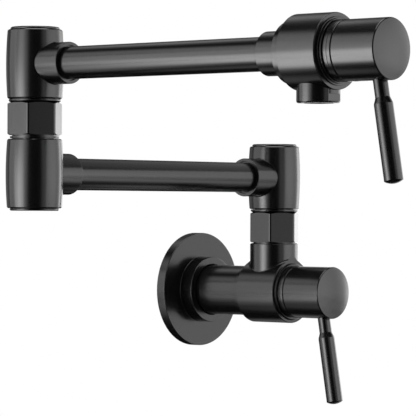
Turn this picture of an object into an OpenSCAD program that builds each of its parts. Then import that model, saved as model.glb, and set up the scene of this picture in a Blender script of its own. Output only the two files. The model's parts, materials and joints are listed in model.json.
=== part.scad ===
// Wall mounted pot filler with two folding arms and a shut-off valve at each end.
// Millimetres, +Z up. The origin is on the valve axis, at the back of the wall flange.
// The wall is the plane y = 0 and the pot filler reaches out along -Y.

/* [Reach] */
// Distance from the wall to the upright shoulder axis
wall_to_shoulder = 83.5; // [76:0.5:110]
// Distance from the shoulder axis to the elbow axis
lower_arm_reach = 269; // [180:1:340]
// Distance from the elbow axis to the outlet axis
upper_arm_reach = 257.5; // [170:0.5:330]
// Height of the lower arm above the lower valve axis
valve_to_arm = 89.2; // [82:0.2:110]
// Height of the upper arm above the lower arm
arm_rise = 77.8; // [72:0.2:100]

/* [Wall flange] */
// Outer diameter of the wall flange
flange_d = 90.5; // [80:0.5:110]
// Thickness of the wall flange at its rim
flange_t = 8; // [6:0.5:12]
// Wall of the hollow flange
flange_wall = 3; // [2:0.25:4]
// Small round on the flange's outer edges
flange_edge = 0.5; // [0.4:0.1:1.5]
// Diameter of the raised boss round the shank
boss_d = 52; // [50:0.5:58]
// Distance from the wall to the front of the boss
boss_reach = 19.5; // [18:0.5:24]
// Length of the boss bore that runs along the shank
boss_land = 10; // [9:0.5:12]
// Gap between the boss bore and the shank
boss_gap = 0.9; // [0.5:0.1:1.2]
// Width of the wall gasket
gasket_w = 4; // [3:0.25:5]
// Thickness of the wall gasket
gasket_t = 2; // [1:0.25:3]
// Width of the solid rim behind the flange face
rim_w = 9; // [8:0.25:11]
// Diameter of the set screw under the boss
flange_screw_d = 4; // [3:0.5:5]

/* [Valve bodies] */
// Diameter of the shank between the wall and the lower valve
shank_d = 39; // [37:0.5:41]
// Diameter of the lower valve body
body_d = 49; // [47:0.5:54]
// Diameter of the upper valve body
upper_body_d = 50.4; // [47:0.2:54]
// Diameter of the shoulder ring behind each body
shoulder_ring_d = 41.6; // [41.2:0.1:44]
// Length of the shoulder ring behind the lower body
lower_ring_w = 6; // [4:0.5:9]
// Length of the shoulder ring behind the upper body
upper_ring_w = 7.7; // [7.2:0.1:10]
// Length of the lower body, centred on the shoulder axis
lower_body_l = 37; // [34:0.5:40]
// Reach of the upper body behind the outlet axis
upper_body_back = 15.6; // [15.5:0.1:19]
// Reach of the upper body in front of the outlet axis
upper_body_front = 15.6; // [14.6:0.1:16]
// Bevel round the front edge of each body
body_bevel = 0.6; // [0.3:0.1:1.2]
// Diameter of the tee neck on the lower body
neck_d = 37.8; // [36:0.2:40]
// Height of the neck above the lower valve axis
neck_h = 37.4; // [34:0.1:40]
// Radius that the front of the lower body is faced off to
facing_r = 27; // [26.5:0.25:29]
// Radius of the fillet between the neck and the lower body
tee_fillet = 2.6; // [1.5:0.1:4]
// Bore of the wall inlet thread
inlet_d = 18.6; // [18:0.1:19.2]
// Depth of the wall inlet thread
inlet_depth = 16; // [12:0.5:20]
// Bore of the waterways
waterway_d = 16; // [14:0.5:17]

/* [Arms] */
// Outer diameter of both arm tubes
tube_d = 23; // [21:0.25:24]
// Wall of the arm tubes
tube_wall = 1.8; // [1.2:0.1:2.8]
// Depth that a tube sits in its collar
tube_socket = 14; // [10:0.5:14.5]
// Outer diameter of the arm collars
collar_d = 29.6; // [28.5:0.1:32]
// Distance from the shoulder axis to the end of its collar
shoulder_collar_reach = 37; // [35:0.5:44]
// Distance from the elbow axis to the ends of its collars
elbow_collar_reach = 34.8; // [34.8:0.1:42]
// Gap round the tube at a collar's mouth
mouth_gap = 1.1; // [0.6:0.1:1.6]
// Depth of the recess at a collar's mouth
mouth_depth = 2; // [1:0.25:3]
// Length of the collar behind the outlet valve
outlet_collar_l = 18.8; // [17:0.2:24]

/* [Swivels] */
// Diameter of a swivel barrel at its ends
barrel_end_d = 39; // [38:0.25:42]
// Diameter of a swivel barrel at its middle
barrel_mid_d = 41; // [40:0.25:44]
// Height of a swivel barrel
barrel_h = 49.2; // [46:0.2:52]
// Chamfer at the ends of a barrel
barrel_edge = 0.8; // [0.3:0.1:1]
// Diameter of the post that a barrel turns on
post_d = 24; // [22.5:0.5:25]
// Diameter of the caps on the barrels
cap_d = 35; // [33:0.2:37]
// Height of the caps
cap_h = 1.8; // [1.4:0.1:4]
// Chamfer of the caps
cap_chamfer = 0.7; // [0.4:0.1:1.2]
// Diameter of the bearing ring under a turning barrel
bearing_ring_d = 37; // [34:0.2:38]
// Diameter of the spacer ring on the lower elbow barrel
spacer_ring_d = 35.2; // [33:0.2:36]
// Height of the bearing ring
bearing_ring_h = 2.5; // [2:0.1:3.5]
// Height of the spacer ring
spacer_ring_h = 2.8; // [2:0.1:4.5]
// Width of the hex nuts across their flats
hex_af = 35.2; // [33.5:0.1:36]
// Height of the round foot under the shoulder nut
nut_foot_h = 1.1; // [0.4:0.1:1.5]
// Diameter of that foot
nut_foot_d = 36.2; // [33:0.2:37]
// Thickness of the O-rings on the posts
o_ring_t = 2.1; // [1.8:0.1:2.6]

/* [Handles] */
// Diameter of the handle hubs
hub_d = 40.2; // [39:0.2:43]
// Distance from a valve's cross axis to the back of its hub
hub_back = 25.2; // [24.8:0.1:27]
// Distance from a valve's cross axis to the rim of its hub
hub_front = 59.4; // [58:0.1:66]
// Height of the hub's dome
hub_dome = 2.2; // [1.2:0.1:4]
// Round at the hub's rim
hub_edge = 1; // [0.6:0.1:1.6]
// Diameter of the lock ring behind a hub
lock_ring_d = 40.6; // [40:0.2:44]
// Length of the lower lock ring
lower_lock_w = 5; // [3.6:0.1:5.4]
// Length of the upper lock ring
upper_lock_w = 5.8; // [4.5:0.1:6.5]
// Diameter of the ribbed trim rings
trim_ring_d = 44.8; // [44:0.2:47]
// Outward tilt of the levers
lever_tilt = 9.8; // [0:0.2:12]
// Distance from a valve's cross axis to the lever's root
lever_root = 46.8; // [45.5:0.1:49]
// Length of a lever from the valve axis to its tip
lever_l = 87; // [75:0.5:110]
// Diameter of the lever's neck
lever_neck_d = 9.6; // [8:0.1:11]
// Diameter of the lever's grip
lever_grip_d = 12.5; // [11.5:0.1:15]
// Distance from the valve axis to the start of the lever's shoulder
lever_neck_l = 31.4; // [28:0.2:36]
// Length of the lever's shoulder
lever_shoulder_l = 4; // [2:0.2:6]

/* [Outlet] */
// Diameter of the outlet housing
outlet_d = 28.8; // [27.6:0.2:29.2]
// Depth of the outlet housing's mouth below the upper arm axis
outlet_drop = 33.4; // [33:0.2:38]
// Depth of the seat for the housing below the upper arm axis
outlet_seat = 20.6; // [20.2:0.1:22]
// Height of the housing's wrench flats
wrench_flat_h = 4.6; // [3:0.2:5.2]
// Width of the outlet housing across its wrench flats
wrench_flat_w = 26.2; // [25.6:0.1:27.4]
// Diameter of the aerator insert
aerator_d = 22; // [21:0.25:22.5]
// Height of the aerator insert
aerator_h = 4.2; // [3.5:0.1:4.6]

/* [Cartridges] */
// Diameter of the ceramic discs
disc_d = 14; // [13:0.25:14.5]
// Thickness of each ceramic disc
disc_t = 3; // [2.5:0.25:3.5]
// Diameter of the valve stems
stem_d = 8; // [7:0.25:9]
// Width of the cartridge hex across its flats
cartridge_af = 24; // [22.5:0.25:25]

/* [Hidden] */
$fn = 96;

// Overrun of every cut
over = 1;
// Radial gap of pieces that are screwed or pushed together
fit_gap = 0.1;
// Radial gap of a bore that turns on its post or stem
running_gap = 0.05;
// End gap between pieces that turn against each other
end_gap = 0.3;
// Film between the ceramic discs
disc_film = 0.05;
// Depth of the wrench sockets in the set screws
socket_depth = 2;
// Share of a screw's diameter that its wrench socket takes
socket_share = 0.5;
// Steps of a rounded corner and of a long arc
corner_steps = 5;
arc_steps = 14;

// Finishes
satin_black = [0.13, 0.13, 0.14];
raw_brass = [0.78, 0.62, 0.32];
seal_black = [0.06, 0.06, 0.06];
ceramic_white = [0.9, 0.9, 0.88];
steel_grey = [0.62, 0.63, 0.65];
nylon_white = [0.86, 0.86, 0.83];

// Heights of the two arms
lower_arm_z = valve_to_arm;
upper_arm_z = valve_to_arm + arm_rise;

// Wall flange
flange_r = flange_d / 2;
boss_r = boss_d / 2;
boss_bore_r = shank_d / 2 + boss_gap;
flange_seal_t = boss_gap + flange_wall / 2;
flange_seal_y_share = 0.26;
flange_screw_y_share = 0.72;

// Valve bodies
shank_r = shank_d / 2;
body_r = body_d / 2;
upper_body_r = upper_body_d / 2;
lower_front = lower_body_l / 2;
neck_thread_wall = 2.5;
neck_thread_d = waterway_d + 2 * neck_thread_wall;
neck_thread_l = 13;
outlet_nozzle_l = 6.4;
outlet_boss_share = 0.96;
seat_back = 9;
seat_port_d = 12;
seat_lip = 4;
cavity_d = 22;
cavity_front = 4;
thread_step = 1;
thread_d = cavity_d + 2 * thread_step;
thread_front = 12;
pocket_d = 30;
side_port_d = 10;
side_port_s = (cavity_front - seat_back) / 2;
side_port_l = 15;

// Cartridges
chamber_r = disc_d / 2 + fit_gap;
sleeve_gap = 0.4;
sleeve_r = cavity_d / 2 - sleeve_gap;
seat_seal_t = 2;
cartridge_hex_h = 5;
cartridge_hex_top = thread_front + cartridge_hex_h;
cartridge_neck_r = 9.5;
cartridge_set_back = 3;
cartridge_top = hub_back - cartridge_set_back;
stem_r = stem_d / 2;
stem_seal_t = 1.5;
stem_seal_back = 2;
stem_seal_s = thread_front - stem_seal_back;
stem_flange_t = 2;
spline_l = 10;
disc_low = -seat_back + seat_seal_t;
film_low = disc_low + disc_t;
disc_high = film_low + disc_film + disc_t;
stem_flange_top = disc_high + stem_flange_t;
disc_port_share = 0.36;
disc_port_d = disc_d * disc_port_share;
disc_port_place_share = 0.25;

// Handles
hub_r = hub_d / 2;
lock_front = hub_back - end_gap;
lower_lock_back = lock_front - lower_lock_w;
upper_lock_back = lock_front - upper_lock_w;
trim_groove = 2.8;
// Outline of each trim ring: shares of its width, and shares of its groove that it is cut down by
lower_trim_shares = [[0, 0.06], [0.08, 0], [0.28, 0], [0.8, 0.4], [0.8, 1], [1, 1]];
upper_trim_shares = [
    [0, 0.12], [0.1, 0], [0.26, 0], [0.34, 0.12], [0.34, 0.39], [0.7, 0.39], [0.78, 0.5], [0.78, 1], [1, 1]
];
trim_bore_r = pocket_d / 2;
lock_groove = 0.25;
hub_recess_r = pocket_d / 2;
hub_recess_depth = 3;
spline_room = 3;
hub_bore_depth = spline_l + spline_room;
lever_seat = 11.5;
lever_tip_h = 1.9;
hub_screw_d = 5;
hub_screw_back = 7;
hub_screw_s = hub_back + hub_screw_back;

// Swivels
post_r = post_d / 2;
barrel_bore_r = post_r + running_gap;
barrel_top = barrel_h / 2;
barrel_shelf = 6.7;
shelf_z = barrel_top - barrel_shelf;
shelf_w = 3;
cap_plug_r = post_r + shelf_w;
post_top = shelf_z + end_gap;
post_port_d = 10;
gallery_h = 13;
gallery_depth = 2.2;
o_ring_land = 5;
o_ring_z = gallery_h / 2 + o_ring_land;
o_groove_room = 0.6;
o_groove_w = o_ring_t + o_groove_room;
washer_t = 1.5;
washer_gap = 0.5;
screw_head_d = 10;
screw_head_h = 2.4;
screw_d = 5;
screw_l = 9;
cap_skirt_w = 2.6;
cap_skirt_l = 3.6;
ring_edge = 0.5;
ring_cone_w = 0.8;
ring_cone_h = 1.2;
spacer_groove = 0.5;
spacer_lip_share = 0.2;
hex_c = hex_af / 2 / cos(30);
hex_land = 0.3;
hex_chamfer_tilt = 23;
stack_h = bearing_ring_h + end_gap;

// Points along an arc in the plane of a turned outline
function arc(cx, cz, r, a0, a1, n) =
    [for (i = [0:n]) [cx + r * cos(a0 + (a1 - a0) * i / n), cz + r * sin(a0 + (a1 - a0) * i / n)]];

// A turned piece from its half outline, as pairs of radius and height
module turned(points) {
    rotate_extrude()
        polygon(points);
}

// A plain ring from r_in to r_out between two heights
module ring(r_in, r_out, z0, z1) {
    turned([[r_in, z0], [r_out, z0], [r_out, z1], [r_in, z1]]);
}

// A round cord ring, such as an O-ring
module cord_ring(r_mid, t, z) {
    translate([0, 0, z])
        rotate_extrude()
            translate([r_mid, 0])
                circle(d = t);
}

// A hex prism with its flats facing along X, between two heights
module hex(af, z0, z1) {
    translate([0, 0, z0])
        rotate([0, 0, 30])
            cylinder(r = af / 2 / cos(30), h = z1 - z0, $fn = 6);
}

// Frames: +Z of the first three runs out from the wall, and their +Y runs up
module on_wall() {
    rotate([90, 0, 0])
        children();
}

module on_lower_valve() {
    translate([0, -wall_to_shoulder, 0])
        rotate([90, 0, 0])
            children();
}

module on_upper_valve() {
    translate([-lower_arm_reach, -wall_to_shoulder - upper_arm_reach, upper_arm_z])
        rotate([90, 0, 0])
            children();
}

module at_shoulder() {
    translate([0, -wall_to_shoulder, lower_arm_z])
        children();
}

module at_elbow_low() {
    translate([-lower_arm_reach, -wall_to_shoulder, lower_arm_z])
        children();
}

module at_elbow_high() {
    translate([-lower_arm_reach, -wall_to_shoulder, upper_arm_z])
        children();
}

// Turns a piece built along +Z to point up or down in a valve's frame
module valve_up() {
    rotate([-90, 0, 0])
        children();
}

module valve_down() {
    rotate([90, 0, 0])
        children();
}

// Wall flange: a hollow disc with a boss, a gasket groove, a seal groove and a screw hole
flange_seal_y = boss_reach - boss_land * flange_seal_y_share;
flange_screw_y = boss_reach - boss_land * flange_screw_y_share;
flange_seal_r = shank_r + running_gap + flange_seal_t / 2;
gasket_in_r = flange_r - rim_w / 2 - gasket_w / 2;
gasket_out_r = gasket_in_r + gasket_w;

module wall_flange() {
    rim_in = flange_r - rim_w;
    hollow_r = boss_r - flange_wall;
    color(satin_black)
        on_wall()
            difference() {
                turned(concat(
                    [[rim_in, 0], [flange_r - flange_edge / 2, 0], [flange_r, flange_edge / 2]],
                    arc(flange_r - flange_edge, flange_t - flange_edge, flange_edge, 0, 90, corner_steps),
                    [[boss_r, flange_t]],
                    arc(boss_r - flange_edge, boss_reach - flange_edge, flange_edge, 0, 90, corner_steps),
                    [[boss_bore_r, boss_reach], [boss_bore_r, boss_reach - boss_land]],
                    [[hollow_r, boss_reach - boss_land], [hollow_r, flange_t - flange_wall]],
                    [[rim_in, flange_t - flange_wall]]
                ));
                ring(gasket_in_r - fit_gap, gasket_out_r + fit_gap, -over, gasket_t);
                ring(boss_bore_r - over, flange_seal_r + flange_seal_t / 2 + fit_gap,
                    flange_seal_y - flange_seal_t / 2 - fit_gap, flange_seal_y + flange_seal_t / 2 + fit_gap);
                translate([0, 0, flange_screw_y])
                    valve_down()
                        cylinder(d = flange_screw_d + 2 * fit_gap, h = boss_r + over);
            }
}

module flange_gasket() {
    color(seal_black)
        on_wall()
            ring(gasket_in_r, gasket_out_r, 0, gasket_t);
}

module flange_seal() {
    color(seal_black)
        on_wall()
            cord_ring(flange_seal_r, flange_seal_t, flange_seal_y);
}

// A headless screw from z0 to z1 with a hex socket in its far end
module set_screw(d, z0, z1) {
    difference() {
        translate([0, 0, z0])
            cylinder(d = d, h = z1 - z0);
        hex(d * socket_share, z1 - socket_depth, z1 + over);
    }
}

module flange_screw() {
    color(steel_grey)
        on_wall()
            translate([0, 0, flange_screw_y])
                valve_down()
                    set_screw(flange_screw_d, shank_r + running_gap, boss_r - flange_edge);
}

// Valve bodies: the cuts that hold a cartridge, the same in both bodies
module cartridge_cuts(front) {
    translate([0, 0, -seat_back - seat_lip - over])
        cylinder(d = seat_port_d, h = seat_lip + 2 * over);
    translate([0, 0, -seat_back])
        cylinder(d = cavity_d, h = seat_back + cavity_front + over);
    translate([0, 0, cavity_front])
        cylinder(d = thread_d, h = thread_front - cavity_front + over);
    translate([0, 0, thread_front])
        cylinder(d = pocket_d, h = front - thread_front + over);
}

// Port from the cartridge's side up towards the neck
module side_port() {
    translate([0, 0, side_port_s])
        valve_up()
            cylinder(d = side_port_d, h = side_port_l + over);
}

// Outline of the upper body with its shoulder ring, from the back of the ring to the front
function body_outline(back, front, ring_w) = [
    [shoulder_ring_d / 2 - body_bevel, back - ring_w],
    [shoulder_ring_d / 2, back - ring_w + body_bevel],
    [shoulder_ring_d / 2, back],
    [upper_body_r - body_bevel / 2, back],
    [upper_body_r, back + body_bevel / 2],
    [upper_body_r, front - body_bevel],
    [upper_body_r - body_bevel, front],
    [0, front]
];

// Fillet at the foot of the neck: a ball rolls round where the neck meets the body,
// and each ring of points is the arc between the two places that it touches
tee_steps = 72;
tee_arc_steps = 5;
tee_sink = 0.06;
tee_root = 1.5;
tee_ball_r = tee_fillet + tee_sink;
function ball_centre(a) =
    let (x = (neck_d / 2 + tee_fillet) * sin(a))
    [x, (neck_d / 2 + tee_fillet) * cos(a), sqrt(pow(body_r + tee_fillet, 2) - pow(x, 2))];
function to_neck(a) = [-sin(a), -cos(a), 0];
function to_body(c) = [-c[0], 0, -c[2]] / norm([c[0], c[2]]);
function tee_ring(a) =
    let (
        c = ball_centre(a),
        u = to_neck(a),
        v = to_body(c),
        angle = acos(u * v),
        side = (v - u * cos(angle)) / sin(angle)
    )
    concat(
        [for (i = [0:tee_arc_steps])
            let (t = angle * i / tee_arc_steps)
            c + tee_ball_r * (u * cos(t) + side * sin(t))],
        [c + v * (tee_ball_r + tee_root), c + u * (tee_ball_r + tee_root) + v * (tee_ball_r + tee_root)],
        [c + u * (tee_ball_r + tee_root)]
    );

module tee_fillet_skin() {
    count = tee_arc_steps + 4;
    points = [for (s = [0:tee_steps - 1]) each tee_ring(360 * s / tee_steps)];
    quads = [for (s = [0:tee_steps - 1]) for (i = [0:count - 1])
        let (n = (s + 1) % tee_steps, j = (i + 1) % count)
        [s * count + i, n * count + i, n * count + j, s * count + j]];
    polyhedron(
        points = points,
        faces = [for (q = quads) each [[q[0], q[1], q[2]], [q[0], q[2], q[3]]]]
    );
}

module lower_valve_body() {
    back = -lower_body_l / 2;
    color(satin_black)
        on_lower_valve()
            difference() {
                union() {
                    difference() {
                        union() {
                            turned([
                                [0, back],
                                [body_r - body_bevel / 2, back],
                                [body_r, back + body_bevel / 2],
                                [body_r, lower_front - body_bevel],
                                [body_r - body_bevel, lower_front],
                                [0, lower_front]
                            ]);
                            valve_up()
                                cylinder(d = neck_d, h = neck_h);
                            valve_up()
                                tee_fillet_skin();
                        }
                        translate([0, 0, lower_front])
                            cylinder(r = facing_r, h = neck_d);
                        translate([0, 0, back - neck_d])
                            cylinder(r = facing_r, h = neck_d);
                    }
                    turned([
                        [0, -wall_to_shoulder],
                        [shank_r - flange_edge, -wall_to_shoulder],
                        [shank_r, -wall_to_shoulder + flange_edge],
                        [shank_r, back - lower_ring_w],
                        [shoulder_ring_d / 2 - body_bevel, back - lower_ring_w],
                        [shoulder_ring_d / 2, back - lower_ring_w + body_bevel],
                        [shoulder_ring_d / 2, back + body_bevel],
                        [0, back + body_bevel]
                    ]);
                }
                translate([0, 0, -wall_to_shoulder - over])
                    cylinder(d = inlet_d, h = inlet_depth + over);
                translate([0, 0, -wall_to_shoulder])
                    cylinder(d = waterway_d, h = wall_to_shoulder - seat_back - seat_lip);
                cartridge_cuts(lower_front);
                side_port();
                valve_up()
                    translate([0, 0, side_port_l])
                        cylinder(d = waterway_d, h = neck_h);
                valve_up()
                    translate([0, 0, neck_h - neck_thread_l])
                        cylinder(d = neck_thread_d, h = neck_thread_l + over);
            }
}

module upper_valve_body() {
    back = -upper_body_back;
    ring_back = back - upper_ring_w;
    color(satin_black)
        on_upper_valve()
            difference() {
                union() {
                    difference() {
                        turned(concat([[0, ring_back]], body_outline(back, upper_body_front, upper_ring_w)));
                        valve_down()
                            translate([0, 0, outlet_seat])
                                cylinder(d = outlet_d + 2 * fit_gap, h = upper_body_r);
                    }
                    valve_down()
                        cylinder(d = outlet_d * outlet_boss_share, h = outlet_seat);
                    valve_down()
                        cylinder(d = aerator_d, h = outlet_seat + outlet_nozzle_l);
                }
                translate([0, 0, ring_back - over])
                    cylinder(r = collar_thread_r + fit_gap, h = collar_thread_l + end_gap + over);
                translate([0, 0, ring_back])
                    cylinder(d = waterway_d, h = -ring_back - seat_back - seat_lip);
                cartridge_cuts(upper_body_front);
                rotate([0, 0, 180])
                    side_port();
                valve_down()
                    translate([0, 0, side_port_l])
                        cylinder(d = waterway_d, h = outlet_seat);
            }
}

// Cartridge: housing, rubber seat, two ceramic discs, stem and stem seal, in a valve's frame
module cartridge() {
    color(raw_brass)
        difference() {
            union() {
                turned([
                    [chamber_r, -seat_back + end_gap],
                    [sleeve_r, -seat_back + end_gap],
                    [sleeve_r, cavity_front],
                    [thread_d / 2 - fit_gap, cavity_front],
                    [thread_d / 2 - fit_gap, thread_front],
                    [cartridge_neck_r, thread_front],
                    [cartridge_neck_r, cartridge_top],
                    [stem_r + running_gap, cartridge_top],
                    [stem_r + running_gap, stem_flange_top + end_gap],
                    [chamber_r, stem_flange_top + end_gap]
                ]);
                difference() {
                    hex(cartridge_af, thread_front, cartridge_hex_top);
                    translate([0, 0, thread_front - over])
                        cylinder(r = cartridge_neck_r - over, h = cartridge_hex_top - thread_front + 2 * over);
                }
            }
            ring(stem_r - over, stem_r + stem_seal_t,
                stem_seal_s - stem_seal_t / 2 - fit_gap, stem_seal_s + stem_seal_t / 2 + fit_gap);
            for (side = [0, 180])
                rotate([0, 0, side])
                    translate([0, -disc_port_d / 2, film_low])
                        cube([cavity_d, disc_port_d, disc_t]);
        }
}

module seat_seal() {
    color(seal_black)
        ring(seat_port_d / 2 - fit_gap, chamber_r - fit_gap, -seat_back, disc_low);
}

// One ceramic disc with two round ports
module ceramic_disc(z0) {
    color(ceramic_white)
        difference() {
            translate([0, 0, z0])
                cylinder(d = disc_d, h = disc_t);
            for (side = [0, 180])
                rotate([0, 0, side])
                    translate([disc_d * disc_port_place_share, 0, z0 - over])
                        cylinder(d = disc_port_d, h = disc_t + 2 * over);
        }
}

// The moving disc, a quarter turn from the open place
module moving_disc() {
    rotate([0, 0, 90])
        ceramic_disc(film_low + disc_film);
}

module stem() {
    color(raw_brass)
        difference() {
            turned([
                [0, disc_high],
                [disc_d / 2, disc_high],
                [disc_d / 2, stem_flange_top],
                [stem_r, stem_flange_top],
                [stem_r, stem_seal_s - stem_seal_t / 2 - fit_gap],
                [stem_r - stem_seal_t / 2, stem_seal_s - stem_seal_t / 2 - fit_gap],
                [stem_r - stem_seal_t / 2, stem_seal_s + stem_seal_t / 2 + fit_gap],
                [stem_r, stem_seal_s + stem_seal_t / 2 + fit_gap],
                [stem_r, hub_back + spline_l],
                [0, hub_back + spline_l]
            ]);
            spline_cuts();
        }
}

// Grooves of the splined end that the hub slides onto
spline_teeth = 12;
spline_depth_share = 0.12;
module spline_cuts() {
    for (i = [0:spline_teeth - 1])
        rotate([0, 0, i * 360 / spline_teeth])
            translate([stem_r * (1 - spline_depth_share), -stem_r * spline_depth_share, hub_back])
                cube([stem_r, 2 * stem_r * spline_depth_share, spline_l + over]);
}

module stem_seal() {
    color(seal_black)
        cord_ring(stem_r, stem_seal_t - 2 * running_gap, stem_seal_s);
}

// Rings in front of a body: ribbed trim ring and lock ring
module trim_ring(back, front, shares) {
    r = trim_ring_d / 2;
    color(satin_black)
        turned(concat(
            [[trim_bore_r, back]],
            [for (share = shares) [r - trim_groove * share[1], back + (front - back) * share[0]]],
            [[trim_bore_r, front]]
        ));
}

module lock_ring(back) {
    r = lock_ring_d / 2;
    middle = (back + lock_front) / 2;
    color(satin_black)
        turned([
            [cartridge_neck_r + fit_gap, back],
            [r - lock_groove, back],
            [r, back + lock_groove],
            [r, middle - lock_groove],
            [r - lock_groove, middle],
            [r, middle + lock_groove],
            [r, lock_front - 2 * lock_groove],
            [r - 2 * lock_groove, lock_front],
            [cartridge_neck_r + fit_gap, lock_front]
        ]);
}

// Handle: turned hub with a shallow dome, a lever screwed in from below and a set screw
function dome_r(half, rise) = (pow(half, 2) + pow(rise, 2)) / (2 * rise);

module lever_axis() {
    translate([0, 0, lever_root])
        rotate([90 - lever_tilt, 0, 0])
            children();
}

module handle_hub() {
    half = hub_r - hub_edge;
    dome = dome_r(half, hub_dome);
    color(satin_black)
        difference() {
            turned(concat(
                [[0, hub_back], [hub_r - hub_edge / 2, hub_back], [hub_r, hub_back + hub_edge / 2]],
                arc(half, hub_front - hub_edge, hub_edge, 0, 90 - asin(half / dome), corner_steps),
                arc(0, hub_front + hub_dome - dome, dome, 90 - asin(half / dome), 90, arc_steps)
            ));
            translate([0, 0, hub_back - over])
                cylinder(r = hub_recess_r, h = hub_recess_depth + over);
            translate([0, 0, hub_back])
                cylinder(r = stem_r + fit_gap, h = hub_bore_depth);
            lever_axis()
                translate([0, 0, lever_seat])
                    cylinder(d = lever_neck_d + 2 * fit_gap, h = hub_r);
            translate([0, 0, hub_screw_s])
                valve_down()
                    cylinder(d = hub_screw_d + 2 * fit_gap, h = hub_r + over);
        }
}

module lever() {
    neck_r = lever_neck_d / 2;
    grip_r = lever_grip_d / 2;
    grip_start = lever_neck_l + lever_shoulder_l;
    grip_end = lever_l - lever_tip_h;
    tip_r = dome_r(grip_r, lever_tip_h);
    color(satin_black)
        lever_axis()
            turned(concat(
                [[0, lever_seat], [neck_r, lever_seat], [neck_r, lever_neck_l]],
                [[grip_r, grip_start], [grip_r, grip_end]],
                [for (i = [1:corner_steps])
                    let (t = 90 - asin(grip_r / tip_r) + asin(grip_r / tip_r) * i / corner_steps)
                    [tip_r * cos(t), lever_l - tip_r + tip_r * sin(t)]]
            ));
}

module handle_screw() {
    color(steel_grey)
        translate([0, 0, hub_screw_s])
            valve_down()
                set_screw(hub_screw_d, stem_r + running_gap, hub_r - hub_edge);
}

// Swivel barrel: crowned cylinder with a side collar along +X, open for the post
collar_bore_r = tube_d / 2 + fit_gap;
mouth_r = tube_d / 2 + mouth_gap;
module barrel(reach) {
    bulge = (barrel_mid_d - barrel_end_d) / 2;
    crown_r = dome_r(barrel_top, bulge);
    end_a = asin((barrel_top - barrel_edge) / crown_r);
    socket_x = reach - tube_socket;
    color(satin_black)
        difference() {
            union() {
                turned(concat(
                    [[0, -barrel_top], [barrel_end_d / 2 - barrel_edge, -barrel_top]],
                    arc(barrel_mid_d / 2 - crown_r, 0, crown_r, -end_a, end_a, arc_steps),
                    [[barrel_end_d / 2 - barrel_edge, barrel_top], [0, barrel_top]]
                ));
                rotate([0, 90, 0])
                    turned([
                        [0, 0],
                        [collar_d / 2, 0],
                        [collar_d / 2, reach - ring_edge],
                        [collar_d / 2 - ring_edge, reach],
                        [0, reach]
                    ]);
            }
            translate([0, 0, -barrel_top - over])
                cylinder(r = barrel_bore_r, h = barrel_h + 2 * over);
            translate([0, 0, shelf_z])
                cylinder(r = cap_plug_r + fit_gap, h = barrel_shelf + over);
            rotate([0, 90, 0])
                cylinder(d = waterway_d, h = reach);
            rotate([0, 90, 0])
                translate([0, 0, socket_x])
                    cylinder(r = collar_bore_r, h = tube_socket + over);
            rotate([0, 90, 0])
                translate([0, 0, reach - mouth_depth])
                    cylinder(r = mouth_r, h = mouth_depth + over);
        }
}

// Cap with a skirt that plugs the end of a barrel
module barrel_cap() {
    skirt_in = cap_plug_r - cap_skirt_w;
    color(satin_black)
        turned([
            [0, barrel_top],
            [skirt_in, barrel_top],
            [skirt_in, barrel_top - cap_skirt_l],
            [cap_plug_r, barrel_top - cap_skirt_l],
            [cap_plug_r, barrel_top],
            [cap_d / 2, barrel_top],
            [cap_d / 2, barrel_top + cap_h - cap_chamfer],
            [cap_d / 2 - cap_chamfer, barrel_top + cap_h],
            [0, barrel_top + cap_h]
        ]);
}

// Gallery and O-ring grooves round a post, and cross ports into its bore, at one arm's height
module post_gallery() {
    ring(post_r - gallery_depth, post_r + over, -gallery_h / 2, gallery_h / 2);
    for (side = [-1, 1])
        ring(post_r - o_ring_t, post_r + over,
            side * o_ring_z - o_groove_w / 2, side * o_ring_z + o_groove_w / 2);
    for (a = [0, 90])
        rotate([0, 0, a])
            rotate([0, 90, 0])
                translate([0, 0, -post_r - over])
                    cylinder(d = post_port_d, h = post_d + 2 * over);
}

module post_seals() {
    for (side = [-1, 1])
        cord_ring(barrel_bore_r - running_gap - o_ring_t / 2, o_ring_t - running_gap, side * o_ring_z);
}

// Shoulder post: screwed into the neck, it carries the shoulder barrel
module shoulder_post() {
    foot = neck_h - lower_arm_z;
    color(raw_brass)
        at_shoulder()
            difference() {
                union() {
                    translate([0, 0, foot])
                        cylinder(r = post_r, h = post_top - foot);
                    translate([0, 0, foot - neck_thread_l + end_gap])
                        cylinder(d = neck_thread_d - 2 * fit_gap, h = neck_thread_l);
                }
                post_gallery();
                translate([0, 0, foot - neck_thread_l])
                    cylinder(d = waterway_d, h = neck_thread_l - foot + gallery_h / 2);
                translate([0, 0, post_top - screw_l])
                    cylinder(d = screw_d + 2 * fit_gap, h = screw_l + over);
            }
}

// Hex nut with its corners turned off, round a post
module hex_nut(z0, z1) {
    low_r = hex_af / 2 + hex_land;
    slope = (hex_c - low_r) * tan(hex_chamfer_tilt);
    difference() {
        intersection() {
            hex(hex_af, z0, z1);
            turned([
                [0, z0],
                [low_r, z0],
                [hex_c, z0 + slope],
                [hex_c, z1 - slope],
                [low_r, z1],
                [0, z1]
            ]);
        }
        translate([0, 0, z0 - over])
            cylinder(r = post_r + fit_gap, h = z1 - z0 + 2 * over);
    }
}

module shoulder_hex_nut() {
    z0 = neck_h - lower_arm_z;
    color(satin_black)
        at_shoulder() {
            hex_nut(z0 + nut_foot_h, -barrel_top - stack_h);
            ring(post_r + fit_gap, nut_foot_d / 2, z0, z0 + nut_foot_h);
        }
}

// Bearing ring under a turning barrel, in the barrel's frame
module bearing_ring() {
    low = -barrel_top - stack_h;
    r = bearing_ring_d / 2;
    color(satin_black)
        turned([
            [post_r + fit_gap, low],
            [r - ring_cone_w, low],
            [r, low + ring_cone_h],
            [r, low + bearing_ring_h - ring_edge],
            [r - ring_edge, low + bearing_ring_h],
            [post_r + fit_gap, low + bearing_ring_h]
        ]);
}

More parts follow.
